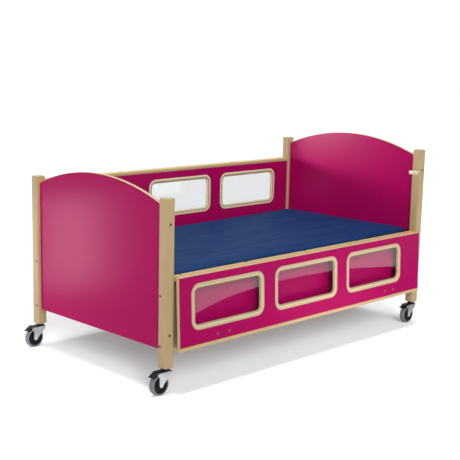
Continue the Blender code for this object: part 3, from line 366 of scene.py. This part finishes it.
def grow(name, tree, places, body, slot, **sizes):
    """Grow a node tree on points that each carry a direction, and keep the result as one plain mesh."""
    mesh = bpy.data.meshes.new(name + "_points")
    mesh.from_pydata([place for place, way in places], [], [])
    aim = mesh.attributes.new("aim", "FLOAT_VECTOR", "POINT")
    for item, (place, way) in zip(aim.data, places):
        item.vector = way
    seeds = show(bpy.data.objects.new(name + "_points", mesh))
    modifier = seeds.modifiers.new("grow", "NODES")
    modifier.node_group = tree
    for item in tree.interface.items_tree:
        if item.in_out == "INPUT" and item.name.replace(" ", "_").lower() in sizes:
            modifier[item.identifier] = sizes[item.name.replace(" ", "_").lower()]
    grown = frozen(seeds)
    bpy.data.objects.remove(seeds)
    grown.name = name
    piece = show(bpy.data.objects.new(name, grown))
    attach(piece, body)
    return piece


socket_heads = fixing_tree("socket cap screw heads", 6)
POST_X, SIDE_Y = 0.974, 0.492  # middles of the posts and of the side boards, from the bed's middle
SINK = 0.007
SIDE_BOARD_BOLTS = (0.463, 0.225)
END_BOARD_BOLT_DROP, END_BOARD_LOW_BOLT = 0.118, 0.280
places = []
for corner in corners:
    low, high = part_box(f"{corner}_post")
    sx = -1 if "foot" in corner else 1
    sy = -1 if "front" in corner else 1
    outer_x = low.x if sx < 0 else high.x
    outer_y = low.y if sy < 0 else high.y
    for z in SIDE_BOARD_BOLTS:
        places.append(((outer_x - sx * SINK, bed_middle.y + sy * SIDE_Y, z), (sx, 0, 0)))
    for z in (high.z - END_BOARD_BOLT_DROP, END_BOARD_LOW_BOLT):
        places.append(((bed_middle.x + sx * POST_X, outer_y - sy * SINK, z), (0, sy, 0)))
grow("panel_bolt_heads", socket_heads, places, "frame", "steel", radius=0.0070, rim_radius=0.0066,
     height=0.0062, recess=0.0032, recess_depth=0.0020, finish=blackened_steel)


# End boards, side boards and the flap's board: 18 mm birch plywood faced on both sides with a satin magenta
# laminate. The edges are rounded over and varnished, so the plies show as thin lines all round.
def faced_board(name, axis, middle, face, place=None, half=0.0088, sheen=0.24, shine=0.05,
                plies=("#D3C49A", "#A8946A"), margins=None):
    """Plywood whose faces, square to one axis, carry a sheet from half its thickness outwards, and whose
    edges show the plies. The sheet stops short of the board's ends where margins gives the first and last x
    that it covers."""
    material, tree = new_material(name)
    where = pattern_space(tree, place)
    parts = add(tree, "ShaderNodeSeparateXYZ", {"Vector": where}).outputs
    depth = calculate(tree, "SUBTRACT", parts[axis], middle)
    is_face = calculate(tree, "GREATER_THAN", calculate(tree, "ABSOLUTE", depth), half)
    if margins:
        for x, way in ((margins[0], "GREATER_THAN"), (margins[1], "LESS_THAN")):
            is_face = calculate(tree, "MULTIPLY", is_face, calculate(tree, way, parts[0], x))
    # plies of 2.6 mm, nearly twice the real 1.4 mm, so that they show at all
    layer = calculate(tree, "SINE", calculate(tree, "MULTIPLY", depth, math.pi / 0.0026))
    layer = mapped(tree, layer, (0.0, 1.0), (-0.35, 0.35))
    fleck = calculate(tree, "MULTIPLY_ADD", noise(tree, where, 1000 / 2.5, 3.0), 0.35, -0.17)
    ply = mixed(tree, calculate(tree, "ADD", layer, fleck, use_clamp=True), *plies)
    # laminate: one solid colour with a very fine moulded texture, and a faint cloudiness in its sheen
    cloud = noise(tree, where, 3.0, 2.0)
    grit = noise(tree, where, 1000 / 0.9, 2.0)
    colour = mixed(tree, is_face, ply, mixed(tree, cloud, *face))
    gloss = mapped(tree, cloud, (sheen - 0.02, sheen + 0.04))
    rough = add(tree, "ShaderNodeMix", {0: is_face, 2: 0.45, 3: gloss}, data_type="FLOAT").outputs[0]
    coat(tree, {"Base Color": colour, "Roughness": rough, "Normal": relief(tree, grit, 0.06, 0.0003),
                "IOR": 1.5, "Specular IOR Level": shine})
    return material


MAGENTA = ("#A70A57", "#9F0852")
# the fixed front board is bare for 60 mm at each end, beside the hanging flap
for name, axis, bare in (("foot_panel", 0, None), ("head_panel", 0, None), ("rear_panel", 1, 0.0),
                         ("front_panel", 1, 0.060)):
    low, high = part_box(name)
    covered = None if bare is None else (low.x + bare, high.x - bare)
    finish_node(name, faced_board(f"{name} magenta laminate on birch ply".replace("_", " "), axis,
                                  (low[axis] + high[axis]) / 2, MAGENTA, margins=covered))


# Cap rails: hardwood strips on top of the two side boards, fixed down with countersunk cross-head screws.
# The screws' heads finish level with the wood.
finish_node("rear_cap_rail", wood("varnished beech rail", 0, "#D4BC8A", "#BBA06E", 0.36))
# the front rail is the same beech as the rear one, drawn darker as painted shade from the mattress's edge
# above it, and with a duller varnish
finish_node("front_cap_rail", wood("varnished beech front rail", 0, "#C6AC7C", "#AE9363", 0.42, shine=0.04))

# Bright zinc-plated steel: pale grey with a faint bluish cast and a fine brushed unevenness
zinc_steel, tree = new_material("bright zinc plated steel")
where = pattern_space(tree)
spangle = noise(tree, where, 1000 / 5.0, 4.0, Roughness=0.6)
brushed = add(tree, "ShaderNodeMapping", {"Vector": where, "Scale": (1.0, 1.0, 0.06)})
scratch = noise(tree, brushed.outputs[0], 1000 / 0.7, 2.0)
# the castors' top plates and fork crowns are drawn near black: no other plated steel lies 108.5 to 125 mm up
PLATES_MIDDLE, PLATES_HALF = 0.11675, 0.00825
height = add(tree, "ShaderNodeSeparateXYZ", {"Vector": where}).outputs["Z"]
plate = calculate(tree, "COMPARE", height, PLATES_MIDDLE, PLATES_HALF)
colour = mixed(tree, plate, mixed(tree, spangle, "#E4E6E7", "#C6C8CA"), "#33353A")
coat(tree, {"Base Color": colour, "Metallic": 0.75, "Roughness": mapped(tree, spangle, (0.22, 0.42)),
            "Normal": relief(tree, scratch, 0.08, 0.0002)})


def mottled(name, scale, detail, light, dark, looks, roughness=None, bump=None):
    """A finish that drifts between two colours. Its roughness can drift too, between two values, and bump is
    the strength and the depth of the same figure as relief. The rest of its looks are the shader's inputs."""
    material, tree = new_material(name)
    figure = noise(tree, pattern_space(tree), scale, detail)
    looks = {"Base Color": mixed(tree, figure, light, dark), **looks}
    if roughness:
        looks["Roughness"] = mapped(tree, figure, roughness)
    if bump:
        looks["Normal"] = relief(tree, figure, *bump)
    coat(tree, looks)
    return material


# Screws in the rails: dead matt, and drawn 13 mm wide, so that they read as dark dots
# their near black is painted shade, for the shade in the recesses round the real screws
recess_shade_black_steel = mottled("black phosphated steel", 800.0, 3.0, "#1E1A16", "#302A23",
                           {"Roughness": 0.8, "Specular IOR Level": 0.05})
cross_heads = fixing_tree("cross-head screw heads", 4)
screw = {"radius": 0.0066, "rim_radius": 0.0060, "height": 0.0009, "recess": 0.0028, "recess_depth": 0.0006}
RAIL_SCREWS = (-0.88, -0.44, 0.0, 0.44, 0.88)
SEATED = 0.0002  # how far a head reaches into what it sits on
for name in ("rear_cap_rail", "front_cap_rail"):
    low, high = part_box(name)
    side_y = bed_middle.y + (SIDE_Y if "rear" in name else -SIDE_Y)
    places = [((bed_middle.x + x, side_y, high.z - SEATED), (0, 0, 1)) for x in RAIL_SCREWS]
    grow(f"{name}_screw_heads", cross_heads, places, "frame", "steel", finish=recess_shade_black_steel, **screw)


# Windows: clear 4 mm acrylic in rings routed from birch plywood, two in the rear board and three in the flap.
# The rings stand a millimetre proud, and their rounds and inner walls show the plies.
def clear_sheet(name, tint):
    """Clear acrylic sheet, polished by wiping; light reaches what is behind it."""
    material, tree = new_material(name)
    wipe = noise(tree, pattern_space(tree), 9.0, 4.0)
    skin = add(tree, "ShaderNodeBsdfPrincipled", {"Base Color": paint(tint), "IOR": 1.49,
                                                  "Roughness": mapped(tree, wipe, (0.0, 0.03)),
                                                  "Transmission Weight": 1.0})
    clear = add(tree, "ShaderNodeBsdfTransparent", {"Color": paint("#FCFCFD")})
    shadow = add(tree, "ShaderNodeLightPath").outputs["Is Shadow Ray"]
    both = add(tree, "ShaderNodeMixShader", {0: shadow, 1: skin.outputs[0], 2: clear.outputs[0]})
    add(tree, "ShaderNodeOutputMaterial", {"Surface": both.outputs[0]})
    return material


def round_rectangle(half_wide, half_high, corner, steps=12):
    """Points round a rectangle with true round corners."""
    points = []
    for turn, (sx, sz) in enumerate(((1, 1), (-1, 1), (-1, -1), (1, -1))):
        for step in range(steps + 1):
            angle = math.radians(90 * (turn + step / steps))
            points.append((sx * (half_wide - corner) + corner * math.cos(angle),
                           sz * (half_high - corner) + corner * math.sin(angle)))
    return points


def routed_ring(name, place, centre, wide, finish):
    """A ply ring with rounded-over faces and a groove for its pane, in the plane that a matrix gives."""
    high, corner, ring_wide, bends = 0.222, 0.048, 0.025, 8
    # half of the section, as the inset from the rim and the distance from the board's middle: a small
    # arris, a flat, a long round down to the opening, and the wall of the groove
    edge = [(0.0003, 0.0092), (0.0006, 0.0097), (0.0012, 0.0100), (0.0065, 0.0100)]
    for step in range(1, bends + 1):
        bend = math.radians(90 * step / bends)
        edge.append((0.0065 + 0.0185 * math.sin(bend), 0.0036 + 0.0064 * math.cos(bend)))
    edge += [(ring_wide, 0.0023), (ring_wide - 0.0058, 0.0023)]
    section = edge + [(inset, -deep) for inset, deep in reversed(edge)]
    bm = bmesh.new()
    loops = []
    for inset, deep in section:
        outline = round_rectangle(wide / 2 - inset, high / 2 - inset, corner - inset)
        loops.append([bm.verts.new(place @ (centre + Vector((a, deep, b)))) for a, b in outline])
    for one, two in zip(loops, loops[1:] + loops[:1]):
        for step in range(len(one)):
            after = (step + 1) % len(one)
            bm.faces.new((one[step], one[after], two[after], two[step]))
    bmesh.ops.recalc_face_normals(bm, faces=bm.faces)
    mesh = bpy.data.meshes.new(name)
    bm.to_mesh(mesh)
    bm.free()
    mesh.materials.append(finish)
    mesh.shade_smooth()
    mesh.set_sharp_from_angle(angle=math.radians(40))
    return show(bpy.data.objects.new(name, mesh))


# the rear rings are the same birch ply as the flap's, drawn lighter in face and plies: painted light, for the
# light that the back of the bed lacks
low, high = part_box("rear_window_frame_1")
rear_ring_lightened = faced_board("rear window ring birch ply", 1, (low.y + high.y) / 2, ("#E9DAB6", "#DDCDA6"),
                        half=0.0098, sheen=0.45, plies=("#ECDDB8", "#AD9D78"))
smoky_acrylic = clear_sheet("clear acrylic sheet, faintly grey", "#DAD9D8")
for number in (1, 2):
    low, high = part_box(f"rear_window_frame_{number}")
    ring = routed_ring(f"rear_routed_ring_{number}", Matrix(), (low + high) / 2, high.x - low.x, rear_ring_lightened)
    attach(ring, "frame")
    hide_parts(f"rear_window_frame_{number}")
    finish_node(f"rear_pane_{number}", smoky_acrylic)


# Flap: the front board that hangs from the fixed front board on a continuous hinge. It is drawn here as it
# hangs, so its patterns are turned to its own plane, about the hinge's pin.
hinge = next(joint for joint in frame["joints"] if joint["name"] == "flap_hinge")
hang = math.radians(hinge["range_deg"][1])
pin = Vector(hinge["pos_m"])
flap_place = (tuple(pin), (hang, 0, 0))
on_flap = Matrix.Translation(pin) @ Matrix.Rotation(hang, 4, "X")
low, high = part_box("flap_panel")
flap_middle = (on_flap.inverted() @ ((low + high) / 2)).y
finish_node("flap_panel", faced_board("flap panel magenta laminate on birch ply", 1, flap_middle, MAGENTA,
                                      flap_place, shine=0.042))
flap_ring = faced_board("flap window ring birch ply", 1, flap_middle, ("#C3B48E", "#B6A880"), flap_place,
                        half=0.0098, sheen=0.45, plies=("#CBBD96", "#8F805C"))
# the flap's panes are the same sheet as the rear ones, drawn clearer so that the shaded board behind them
# shows brighter: painted light
flap_acrylic_cleared_for_light = clear_sheet("clear acrylic sheet", "#F4F5F5")
for number in (1, 2, 3):
    low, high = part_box(f"flap_window_frame_{number}")
    centre = on_flap.inverted() @ ((low + high) / 2)
    ring = routed_ring(f"flap_routed_ring_{number}", on_flap, centre, high.x - low.x, flap_ring)
    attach(ring, "flap")
    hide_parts(f"flap_window_frame_{number}")
    finish_node(f"flap_pane_{number}", flap_acrylic_cleared_for_light)
flap_beech = wood("varnished beech flap rail", 0, "#D4BC8A", "#BBA06E", 0.36, place=flap_place)
finish_node("flap_cap_rail", flap_beech)
# the continuous hinge is brass plated, so that it hardly shows between the two strips of wood
brass_plate = mottled("brass plated steel", 1000 / 9.0, 4.0, "#C6AE7E", "#A98F60",
                      {"Metallic": 0.6, "Specular IOR Level": 0.2}, roughness=(0.32, 0.52))
for name in ("hinge_fixed_leaf", "hinge_moving_leaf", "hinge_pin"):
    finish_node(name, brass_plate)


def softened(name, node, width, material, steps=2):
    """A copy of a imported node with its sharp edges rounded, to stand for it."""
    bm = bmesh.new()
    bm.from_mesh(nodes[node].data)
    bmesh.ops.remove_doubles(bm, verts=bm.verts, dist=0.00001)
    bmesh.ops.dissolve_limit(bm, angle_limit=math.radians(1), verts=bm.verts, edges=bm.edges)
    sharp = [edge for edge in bm.edges if edge.is_manifold and edge.calc_face_angle(0) > math.radians(40)]
    bmesh.ops.bevel(bm, geom=sharp, offset=width, offset_type="OFFSET", segments=steps, profile=0.5,
                    affect="EDGES", clamp_overlap=True)
    bmesh.ops.recalc_face_normals(bm, faces=bm.faces)
    mesh = bpy.data.meshes.new(name)
    bm.to_mesh(mesh)
    bm.free()
    mesh.materials.append(material)
    mesh.shade_smooth()
    mesh.set_sharp_from_angle(angle=math.radians(35))
    return show(bpy.data.objects.new(name, mesh))


for end in ("foot", "head"):
    handle = softened(f"{end}_bow_handle", f"{end}_handle", 0.0006, zinc_steel)
    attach(handle, "flap")
    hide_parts(f"{end}_handle")
    bolt = softened(f"{end}_sliding_bolt", f"{end}_latch_bolt", 0.0003, zinc_steel)
    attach(bolt, f"{end}_latch_bolt")
    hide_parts(f"{end}_latch_bolt")
FLAP_TOP, HANDLE_DROP, HALF_BOARD = 0.894, 0.046, 0.009
# Yellow-passivated steel: the handles' wood screws have a dull brassy tint
passivated_steel = mottled("yellow passivated steel", 700.0, 3.0, "#8C8A55", "#6E6A48",
                           {"Metallic": 0.8, "Roughness": 0.38})
flap_back = flap_middle + HALF_BOARD
handle_z = FLAP_TOP - HANDLE_DROP - pin.z
places = []
for x in (-0.698, -0.622, 0.622, 0.698):
    place = on_flap @ Vector((x, flap_back - SEATED, handle_z))
    places.append((place + Vector((bed_middle.x - pin.x, 0, 0)), on_flap.to_3x3() @ Vector((0, 1, 0))))
grow("handle_screw_heads", cross_heads, places, "flap", "steel", radius=0.0070, rim_radius=0.0052,
     height=0.0024, recess=0.0028, recess_depth=0.0016, finish=passivated_steel)
# the flap rail's screw heads are drawn near black too, as painted shade for their recesses
places = []
for x in (-0.84, -0.42, 0.0, 0.42, 0.84):
    place = on_flap @ Vector((x, flap_middle, FLAP_TOP - pin.z - SEATED))
    places.append((place + Vector((bed_middle.x - pin.x, 0, 0)), on_flap.to_3x3() @ Vector((0, 0, 1))))
grow("flap_rail_screw_heads", cross_heads, places, "flap", "steel", finish=recess_shade_black_steel, **screw)


# Keepers: small cream nylon mouldings on the two front posts, screwed on, that take the flap's bolts and stop
# the raised flap.
cream_nylon = mottled("moulded cream nylon", 1000 / 6.0, 2.0, "#E3DCB9", "#D8CFA8",
                      {"Roughness": 0.42, "IOR": 1.53, "Subsurface Weight": 0.1, "Subsurface Scale": 0.002},
                      bump=(0.05, 0.0003))
POST_INNER_X, KEEPER_GAP, KEEPER_PLATE, HEAD_HEIGHT = 0.948, 0.0003, 0.002, 0.0009
KEEPER_SCREW_Y, KEEPER_SCREW_Z = 0.494, 0.8895
places = []
for end, sx in (("foot", -1), ("head", 1)):
    keeper = softened(f"{end}_moulded_keeper", f"{end}_keeper", 0.0005, cream_nylon)
    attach(keeper, "frame")
    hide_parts(f"{end}_keeper")
    face_x = bed_middle.x + sx * (POST_INNER_X - KEEPER_GAP - KEEPER_PLATE - HEAD_HEIGHT)
    places.append(((face_x, bed_middle.y - KEEPER_SCREW_Y, KEEPER_SCREW_Z), (-sx, 0, 0)))
grow("keeper_screw_heads", cross_heads, places, "frame", "steel", radius=0.0031, rim_radius=0.0025,
     height=HEAD_HEIGHT, recess=0.0016, recess_depth=0.0007, finish=blackened_steel)


# Slatted base: planed softwood slats let into two ledgers, which are screwed to the side boards. The mattress
# hides it in the photograph, so it is plain pine.
finish_node("slatted_base", wood("planed pine slat", 1, "#D9BE8A", "#C09C62", 0.55, width_mm=14.0))


# Mattress: a foam block in a navy coated stretch cover, crowned on top and a little drawn in at its sides.
# The cover lies in faint lengthwise wrinkles.
navy_cover, tree = new_material("navy coated stretch fabric")
where = pattern_space(tree)
# knitted ground of the cover, drawn 3 mm wide where the real one is under 1 mm
knit = add(tree, "ShaderNodeTexVoronoi", {"Vector": where, "Scale": 1000 / 3.0}).outputs["Distance"]
lie = add(tree, "ShaderNodeMapping", {"Vector": where, "Rotation": (0.0, 0.0, 0.16),
                                      "Scale": (0.13, 1.0, 1.0)})
crease = noise(tree, lie.outputs[0], 17.0, 3.0, Roughness=0.55, Distortion=0.8)
# the colour follows the creases, a little darker in their hollows and lighter on their crests: painted shade
colour = mixed(tree, mapped(tree, crease, (0.0, 1.0), (0.38, 0.62)), "#0B2953", "#10305C")
fold = relief(tree, crease, 0.55, 0.012, Normal=relief(tree, knit, 0.12, 0.0006))
coat(tree, {"Base Color": colour, "Roughness": mapped(tree, knit, (0.50, 0.62)), "Normal": fold, "IOR": 1.45,
            "Specular IOR Level": 0.05})


def unit(value):
    """A value held between 0 and 1."""
    return min(max(value, 0.0), 1.0)


def eased(value):
    """A share of the way from 0 to 1 that starts and ends slowly."""
    share = unit(value)
    return share * share * (3 - 2 * share)


def beside(spot, first, last):
    """Where a spot lies along a line, as a share of its length, and how far it is from the line."""
    share = (spot - first).dot(last - first) / (last - first).length_squared
    return share, (spot - first.lerp(last, unit(share))).length


DRAWN_IN = 0.004
SKIN_CELL = 0.013
SETTLING_FRAMES = 20
MOST_SWELL = 0.005
low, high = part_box("mattress")
middle = (low + high) / 2
pad = show(bpy.data.objects.new("mattress_pad", nodes["mattress"].data.copy()))
bm = bmesh.new()
bm.from_mesh(pad.data)
bmesh.ops.remove_doubles(bm, verts=bm.verts, dist=0.00002)
for vert in bm.verts:
    for k in range(3):
        half = (high[k] - low[k]) / 2
        vert.co[k] = middle[k] + (vert.co[k] - middle[k]) * (half - DRAWN_IN) / half
bmesh.ops.recalc_face_normals(bm, faces=bm.faces)
bm.to_mesh(pad.data)
bm.free()
remesh = pad.modifiers.new("even skin", "REMESH")
remesh.mode = "VOXEL"
remesh.voxel_size = SKIN_CELL
base_mesh = frozen(pad)
pad.data = base_mesh
cloth = pad.modifiers.new("cover", "CLOTH")
cloth.settings.use_pressure = True
cloth.settings.uniform_pressure_force = 4.0
cloth.settings.quality = 4
cloth.settings.effector_weights.gravity = 0
cloth.settings.tension_stiffness = 20
cloth.settings.compression_stiffness = 20
cloth.settings.bending_stiffness = 0.6
cloth.point_cache.frame_start = 1
cloth.point_cache.frame_end = SETTLING_FRAMES
for step in range(1, SETTLING_FRAMES + 1):
    scene.frame_set(step)
swollen = frozen(pad)
scene.frame_set(1)
for vert, start in zip(swollen.vertices, base_mesh.vertices):
    move = vert.co - start.co
    if move.length > MOST_SWELL:
        vert.co = start.co + move.normalized() * MOST_SWELL
pad.data = swollen
pad.data.materials.clear()
pad.data.materials.append(navy_cover)
smooth = pad.modifiers.new("round", "SUBSURF")
smooth.levels = 1
smooth.render_levels = 1
pad.data = frozen(pad)
for vert in pad.data.vertices:
    for k in range(3):
        vert.co[k] = min(max(vert.co[k], low[k]), high[k])
# the foam has settled more towards the foot, and the cover lies in four long low creases, slightly askew
SETTLED, SETTLED_LESS = 0.020, 0.017
CREASE_HEIGHT, CREASE_WIDTH = 0.0030, 0.010
creases = [((-0.116, 0.380), (0.272, 0.294)), ((-0.246, 0.237), (0.223, 0.157)),
           ((-0.386, 0.082), (-0.053, 0.006)), ((-0.554, -0.134), (-0.074, -0.092))]
for vert in pad.data.vertices:
    upper = eased((vert.co.z - middle.z) / (high.z - middle.z))
    along = unit((vert.co.x - low.x) / (high.x - low.x))
    vert.co.z -= upper * (SETTLED - SETTLED_LESS * along ** 1.8)
    here = Vector((vert.co.x - bed_middle.x, vert.co.y - bed_middle.y))
    for first, last in creases:
        share, off = beside(here, Vector(first), Vector(last))
        if 0 < share < 1 and upper > 0.5:
            rise = CREASE_HEIGHT * math.sin(math.pi * share) ** 0.5
            vert.co.z += rise * math.exp(-(off / CREASE_WIDTH) ** 2)
pad.data.shade_smooth()
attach(pad, "mattress")
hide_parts("mattress")


# Castors: zinc-plated pressed forks on ball-bearing heads, black moulded wheels with grey non-marking treads,
# and a black brake pedal over each tyre.
# The mouldings are polypropylene: black with a low sheen and a faint moulded grain
black_moulding = mottled("moulded black polypropylene", 1000 / 0.8, 2.0, "#101012", "#19191B",
                         {"Roughness": 0.45, "IOR": 1.49, "Specular IOR Level": 0.2}, bump=(0.15, 0.0003))
# Thermoplastic rubber: matt mid grey, slightly dusty where it rolls
grey_rubber = mottled("grey non-marking rubber", 1000 / 12.0, 5.0, "#68696C", "#7E7F83",
                      {"Roughness": 0.70, "IOR": 1.5}, bump=(0.10, 0.0004))


def lathe(name, profile, place, axis, material, sides=56):
    """A closed ring of revolution about an axis through a place, from (radius, offset) points."""
    bm = bmesh.new()
    turn = Vector(axis).to_track_quat("Z", "Y").to_matrix()
    rings = []
    for radius, offset in profile:
        count = 1 if radius == 0 else sides
        ring = []
        for side in range(count):
            angle = 2 * math.pi * side / sides
            spot = Vector((radius * math.cos(angle), radius * math.sin(angle), offset))
            ring.append(bm.verts.new(Vector(place) + turn @ spot))
        rings.append(ring)
    spans = len(rings) if profile[0][0] > 0 else len(rings) - 1
    for index in range(spans):
        one = rings[index]
        two = rings[(index + 1) % len(rings)]
        for side in range(sides):
            after = (side + 1) % sides
            loop = [one[side % len(one)], one[after % len(one)], two[after % len(two)], two[side % len(two)]]
            bm.faces.new(list(dict.fromkeys(loop)))
    bmesh.ops.recalc_face_normals(bm, faces=bm.faces)
    mesh = bpy.data.meshes.new(name)
    bm.to_mesh(mesh)
    bm.free()
    mesh.materials.append(material)
    mesh.shade_smooth()
    mesh.set_sharp_from_angle(angle=math.radians(35))
    return show(bpy.data.objects.new(name, mesh))


def both_sides(half):
    """The whole section of a wheel or a bolt, from its near half."""
    return half + [(radius, -offset) for radius, offset in reversed(half)]


tread = [(0.0410, 0.0146), (0.0414, 0.0150), (0.0440, 0.0150), (0.0458, 0.0142), (0.0480, 0.0128)]
tread += [(0.0493, 0.0105), (0.0499, 0.0070), (0.0500, 0.0030)]
dish = [(0.0043, 0.0170), (0.0105, 0.0170), (0.0115, 0.0164), (0.0120, 0.0150), (0.0120, 0.0062)]
dish += [(0.0135, 0.0050), (0.0320, 0.0050), (0.0336, 0.0062), (0.0344, 0.0115), (0.0350, 0.0128)]
dish += [(0.0362, 0.0134), (0.0403, 0.0134), (0.0407, 0.0130)]
# the pressed legs run from the crown down to the axle's eye, as seen from the side about the swivel's axis
EYE_HEIGHT = 0.050
LEG_TOP, LEG_EYE = Vector((-0.018, 0.1124)), Vector((-0.040, EYE_HEIGHT))
LEG_REAR, CROWN_REAR, LEG_FACE, LEG_END = 0.052, 0.062, 0.0202, 0.036
CUTS, CUT_PITCH = 26, 0.003
RIDGE, RIDGE_WIDTH, RIDGE_TOP, RIDGE_FADE = 0.0014, 0.0050, 0.106, 0.008
BOSS, BOSS_RADIUS = 0.0010, 0.0095
AXLE_HEAD, AXLE_SHANK, AXLE_CHAMFER = 0.0208, 0.0036, 0.0006
for corner in corners:
    low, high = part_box(f"{corner}_castor_head")
    swivel = Vector(((low.x + high.x) / 2, (low.y + high.y) / 2, 0))
    low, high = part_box(f"{corner}_castor_tyre")
    hub = (low + high) / 2

    tyre = lathe(f"{corner}_rubber_tread", both_sides(tread), hub, (0, 1, 0), grey_rubber)
    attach(tyre, f"{corner}_wheel")
    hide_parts(f"{corner}_castor_tyre")

    centre = lathe(f"{corner}_moulded_wheel_centre", both_sides(dish), hub, (0, 1, 0), black_moulding)
    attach(centre, f"{corner}_wheel")
    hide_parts(f"{corner}_castor_wheel")

    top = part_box(f"{corner}_castor_head")[1].z
    race = [(0.0, top), (0.0055, top), (0.0055, 0.1247), (0.0225, 0.1247), (0.0230, 0.1242), (0.0230, 0.1212)]
    race += [(0.0225, 0.1207), (0.0190, 0.1205), (0.0185, 0.1198), (0.0187, 0.1165), (0.0180, 0.1132)]
    race += [(0.0170, 0.1127), (0.0050, 0.1127), (0.0050, 0.1086), (0.0090, 0.1086), (0.0086, 0.1068)]
    race += [(0.0070, 0.1061), (0.0, 0.1061)]
    head = lathe(f"{corner}_turned_castor_head", race, swivel, (0, 0, 1), zinc_steel)
    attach(head, "frame")
    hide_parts(f"{corner}_castor_head")

    # the fork's sides are cut into small squares, so that they can be pressed into shape
    fork = softened(f"{corner}_pressed_fork", f"{corner}_castor_fork", 0.0012, zinc_steel, 3)
    bm = bmesh.new()
    bm.from_mesh(fork.data)
    for axis, first in ((0, swivel.x - CROWN_REAR), (2, LEG_END)):
        for step in range(CUTS):
            spot, way = Vector(), Vector()
            spot[axis], way[axis] = first + CUT_PITCH * step, 1
            everything = bm.verts[:] + bm.edges[:] + bm.faces[:]
            bmesh.ops.bisect_plane(bm, geom=everything, dist=0.00001, plane_co=spot, plane_no=way)
    for vert in bm.verts:
        # the leg's rear edge runs straight up from the eye, and only its top reaches back to the pedal's pin
        rear = -LEG_REAR - (CROWN_REAR - LEG_REAR) * eased((vert.co.z - 0.088) / 0.010)
        if EYE_HEIGHT < vert.co.z < 0.098:
            vert.co.x = max(vert.co.x, swivel.x + rear)
        # each leg is stiffened by a ridge that runs down to a raised boss round the eye
        out = vert.co.y - swivel.y
        if abs(out) > LEG_FACE and vert.co.z < RIDGE_TOP:
            spot = Vector((vert.co.x - swivel.x, vert.co.z))
            off = beside(spot, LEG_TOP, LEG_EYE)[1]
            ridge = RIDGE * math.exp(-(off / RIDGE_WIDTH) ** 2)
            ridge *= min(1.0, (RIDGE_TOP - vert.co.z) / RIDGE_FADE)
            boss = BOSS if (spot - LEG_EYE).length < BOSS_RADIUS else 0.0
            vert.co.y += math.copysign(max(ridge, boss), out)
    bm.to_mesh(fork.data)
    bm.free()
    fork.data.shade_smooth()
    fork.data.set_sharp_from_angle(angle=math.radians(40))
    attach(fork, f"{corner}_fork")
    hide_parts(f"{corner}_castor_fork")

    # hexagon bolt and nut on the axle
    low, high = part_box(f"{corner}_castor_axle")
    reach, thick = (high.y - low.y) / 2, (high.z - low.z) / 2
    bolt = [(0.0, reach), (thick - AXLE_CHAMFER, reach), (thick, reach - AXLE_CHAMFER), (thick, AXLE_HEAD),
            (AXLE_SHANK, AXLE_HEAD)]
    axle = lathe(f"{corner}_axle_bolt", both_sides(bolt), hub, (0, 1, 0), zinc_steel, sides=6)
    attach(axle, f"{corner}_fork")
    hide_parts(f"{corner}_castor_axle")

    pedal = softened(f"{corner}_moulded_pedal", f"{corner}_brake_pedal", 0.0010, black_moulding, 3)
    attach(pedal, f"{corner}_pedal")
    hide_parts(f"{corner}_brake_pedal")
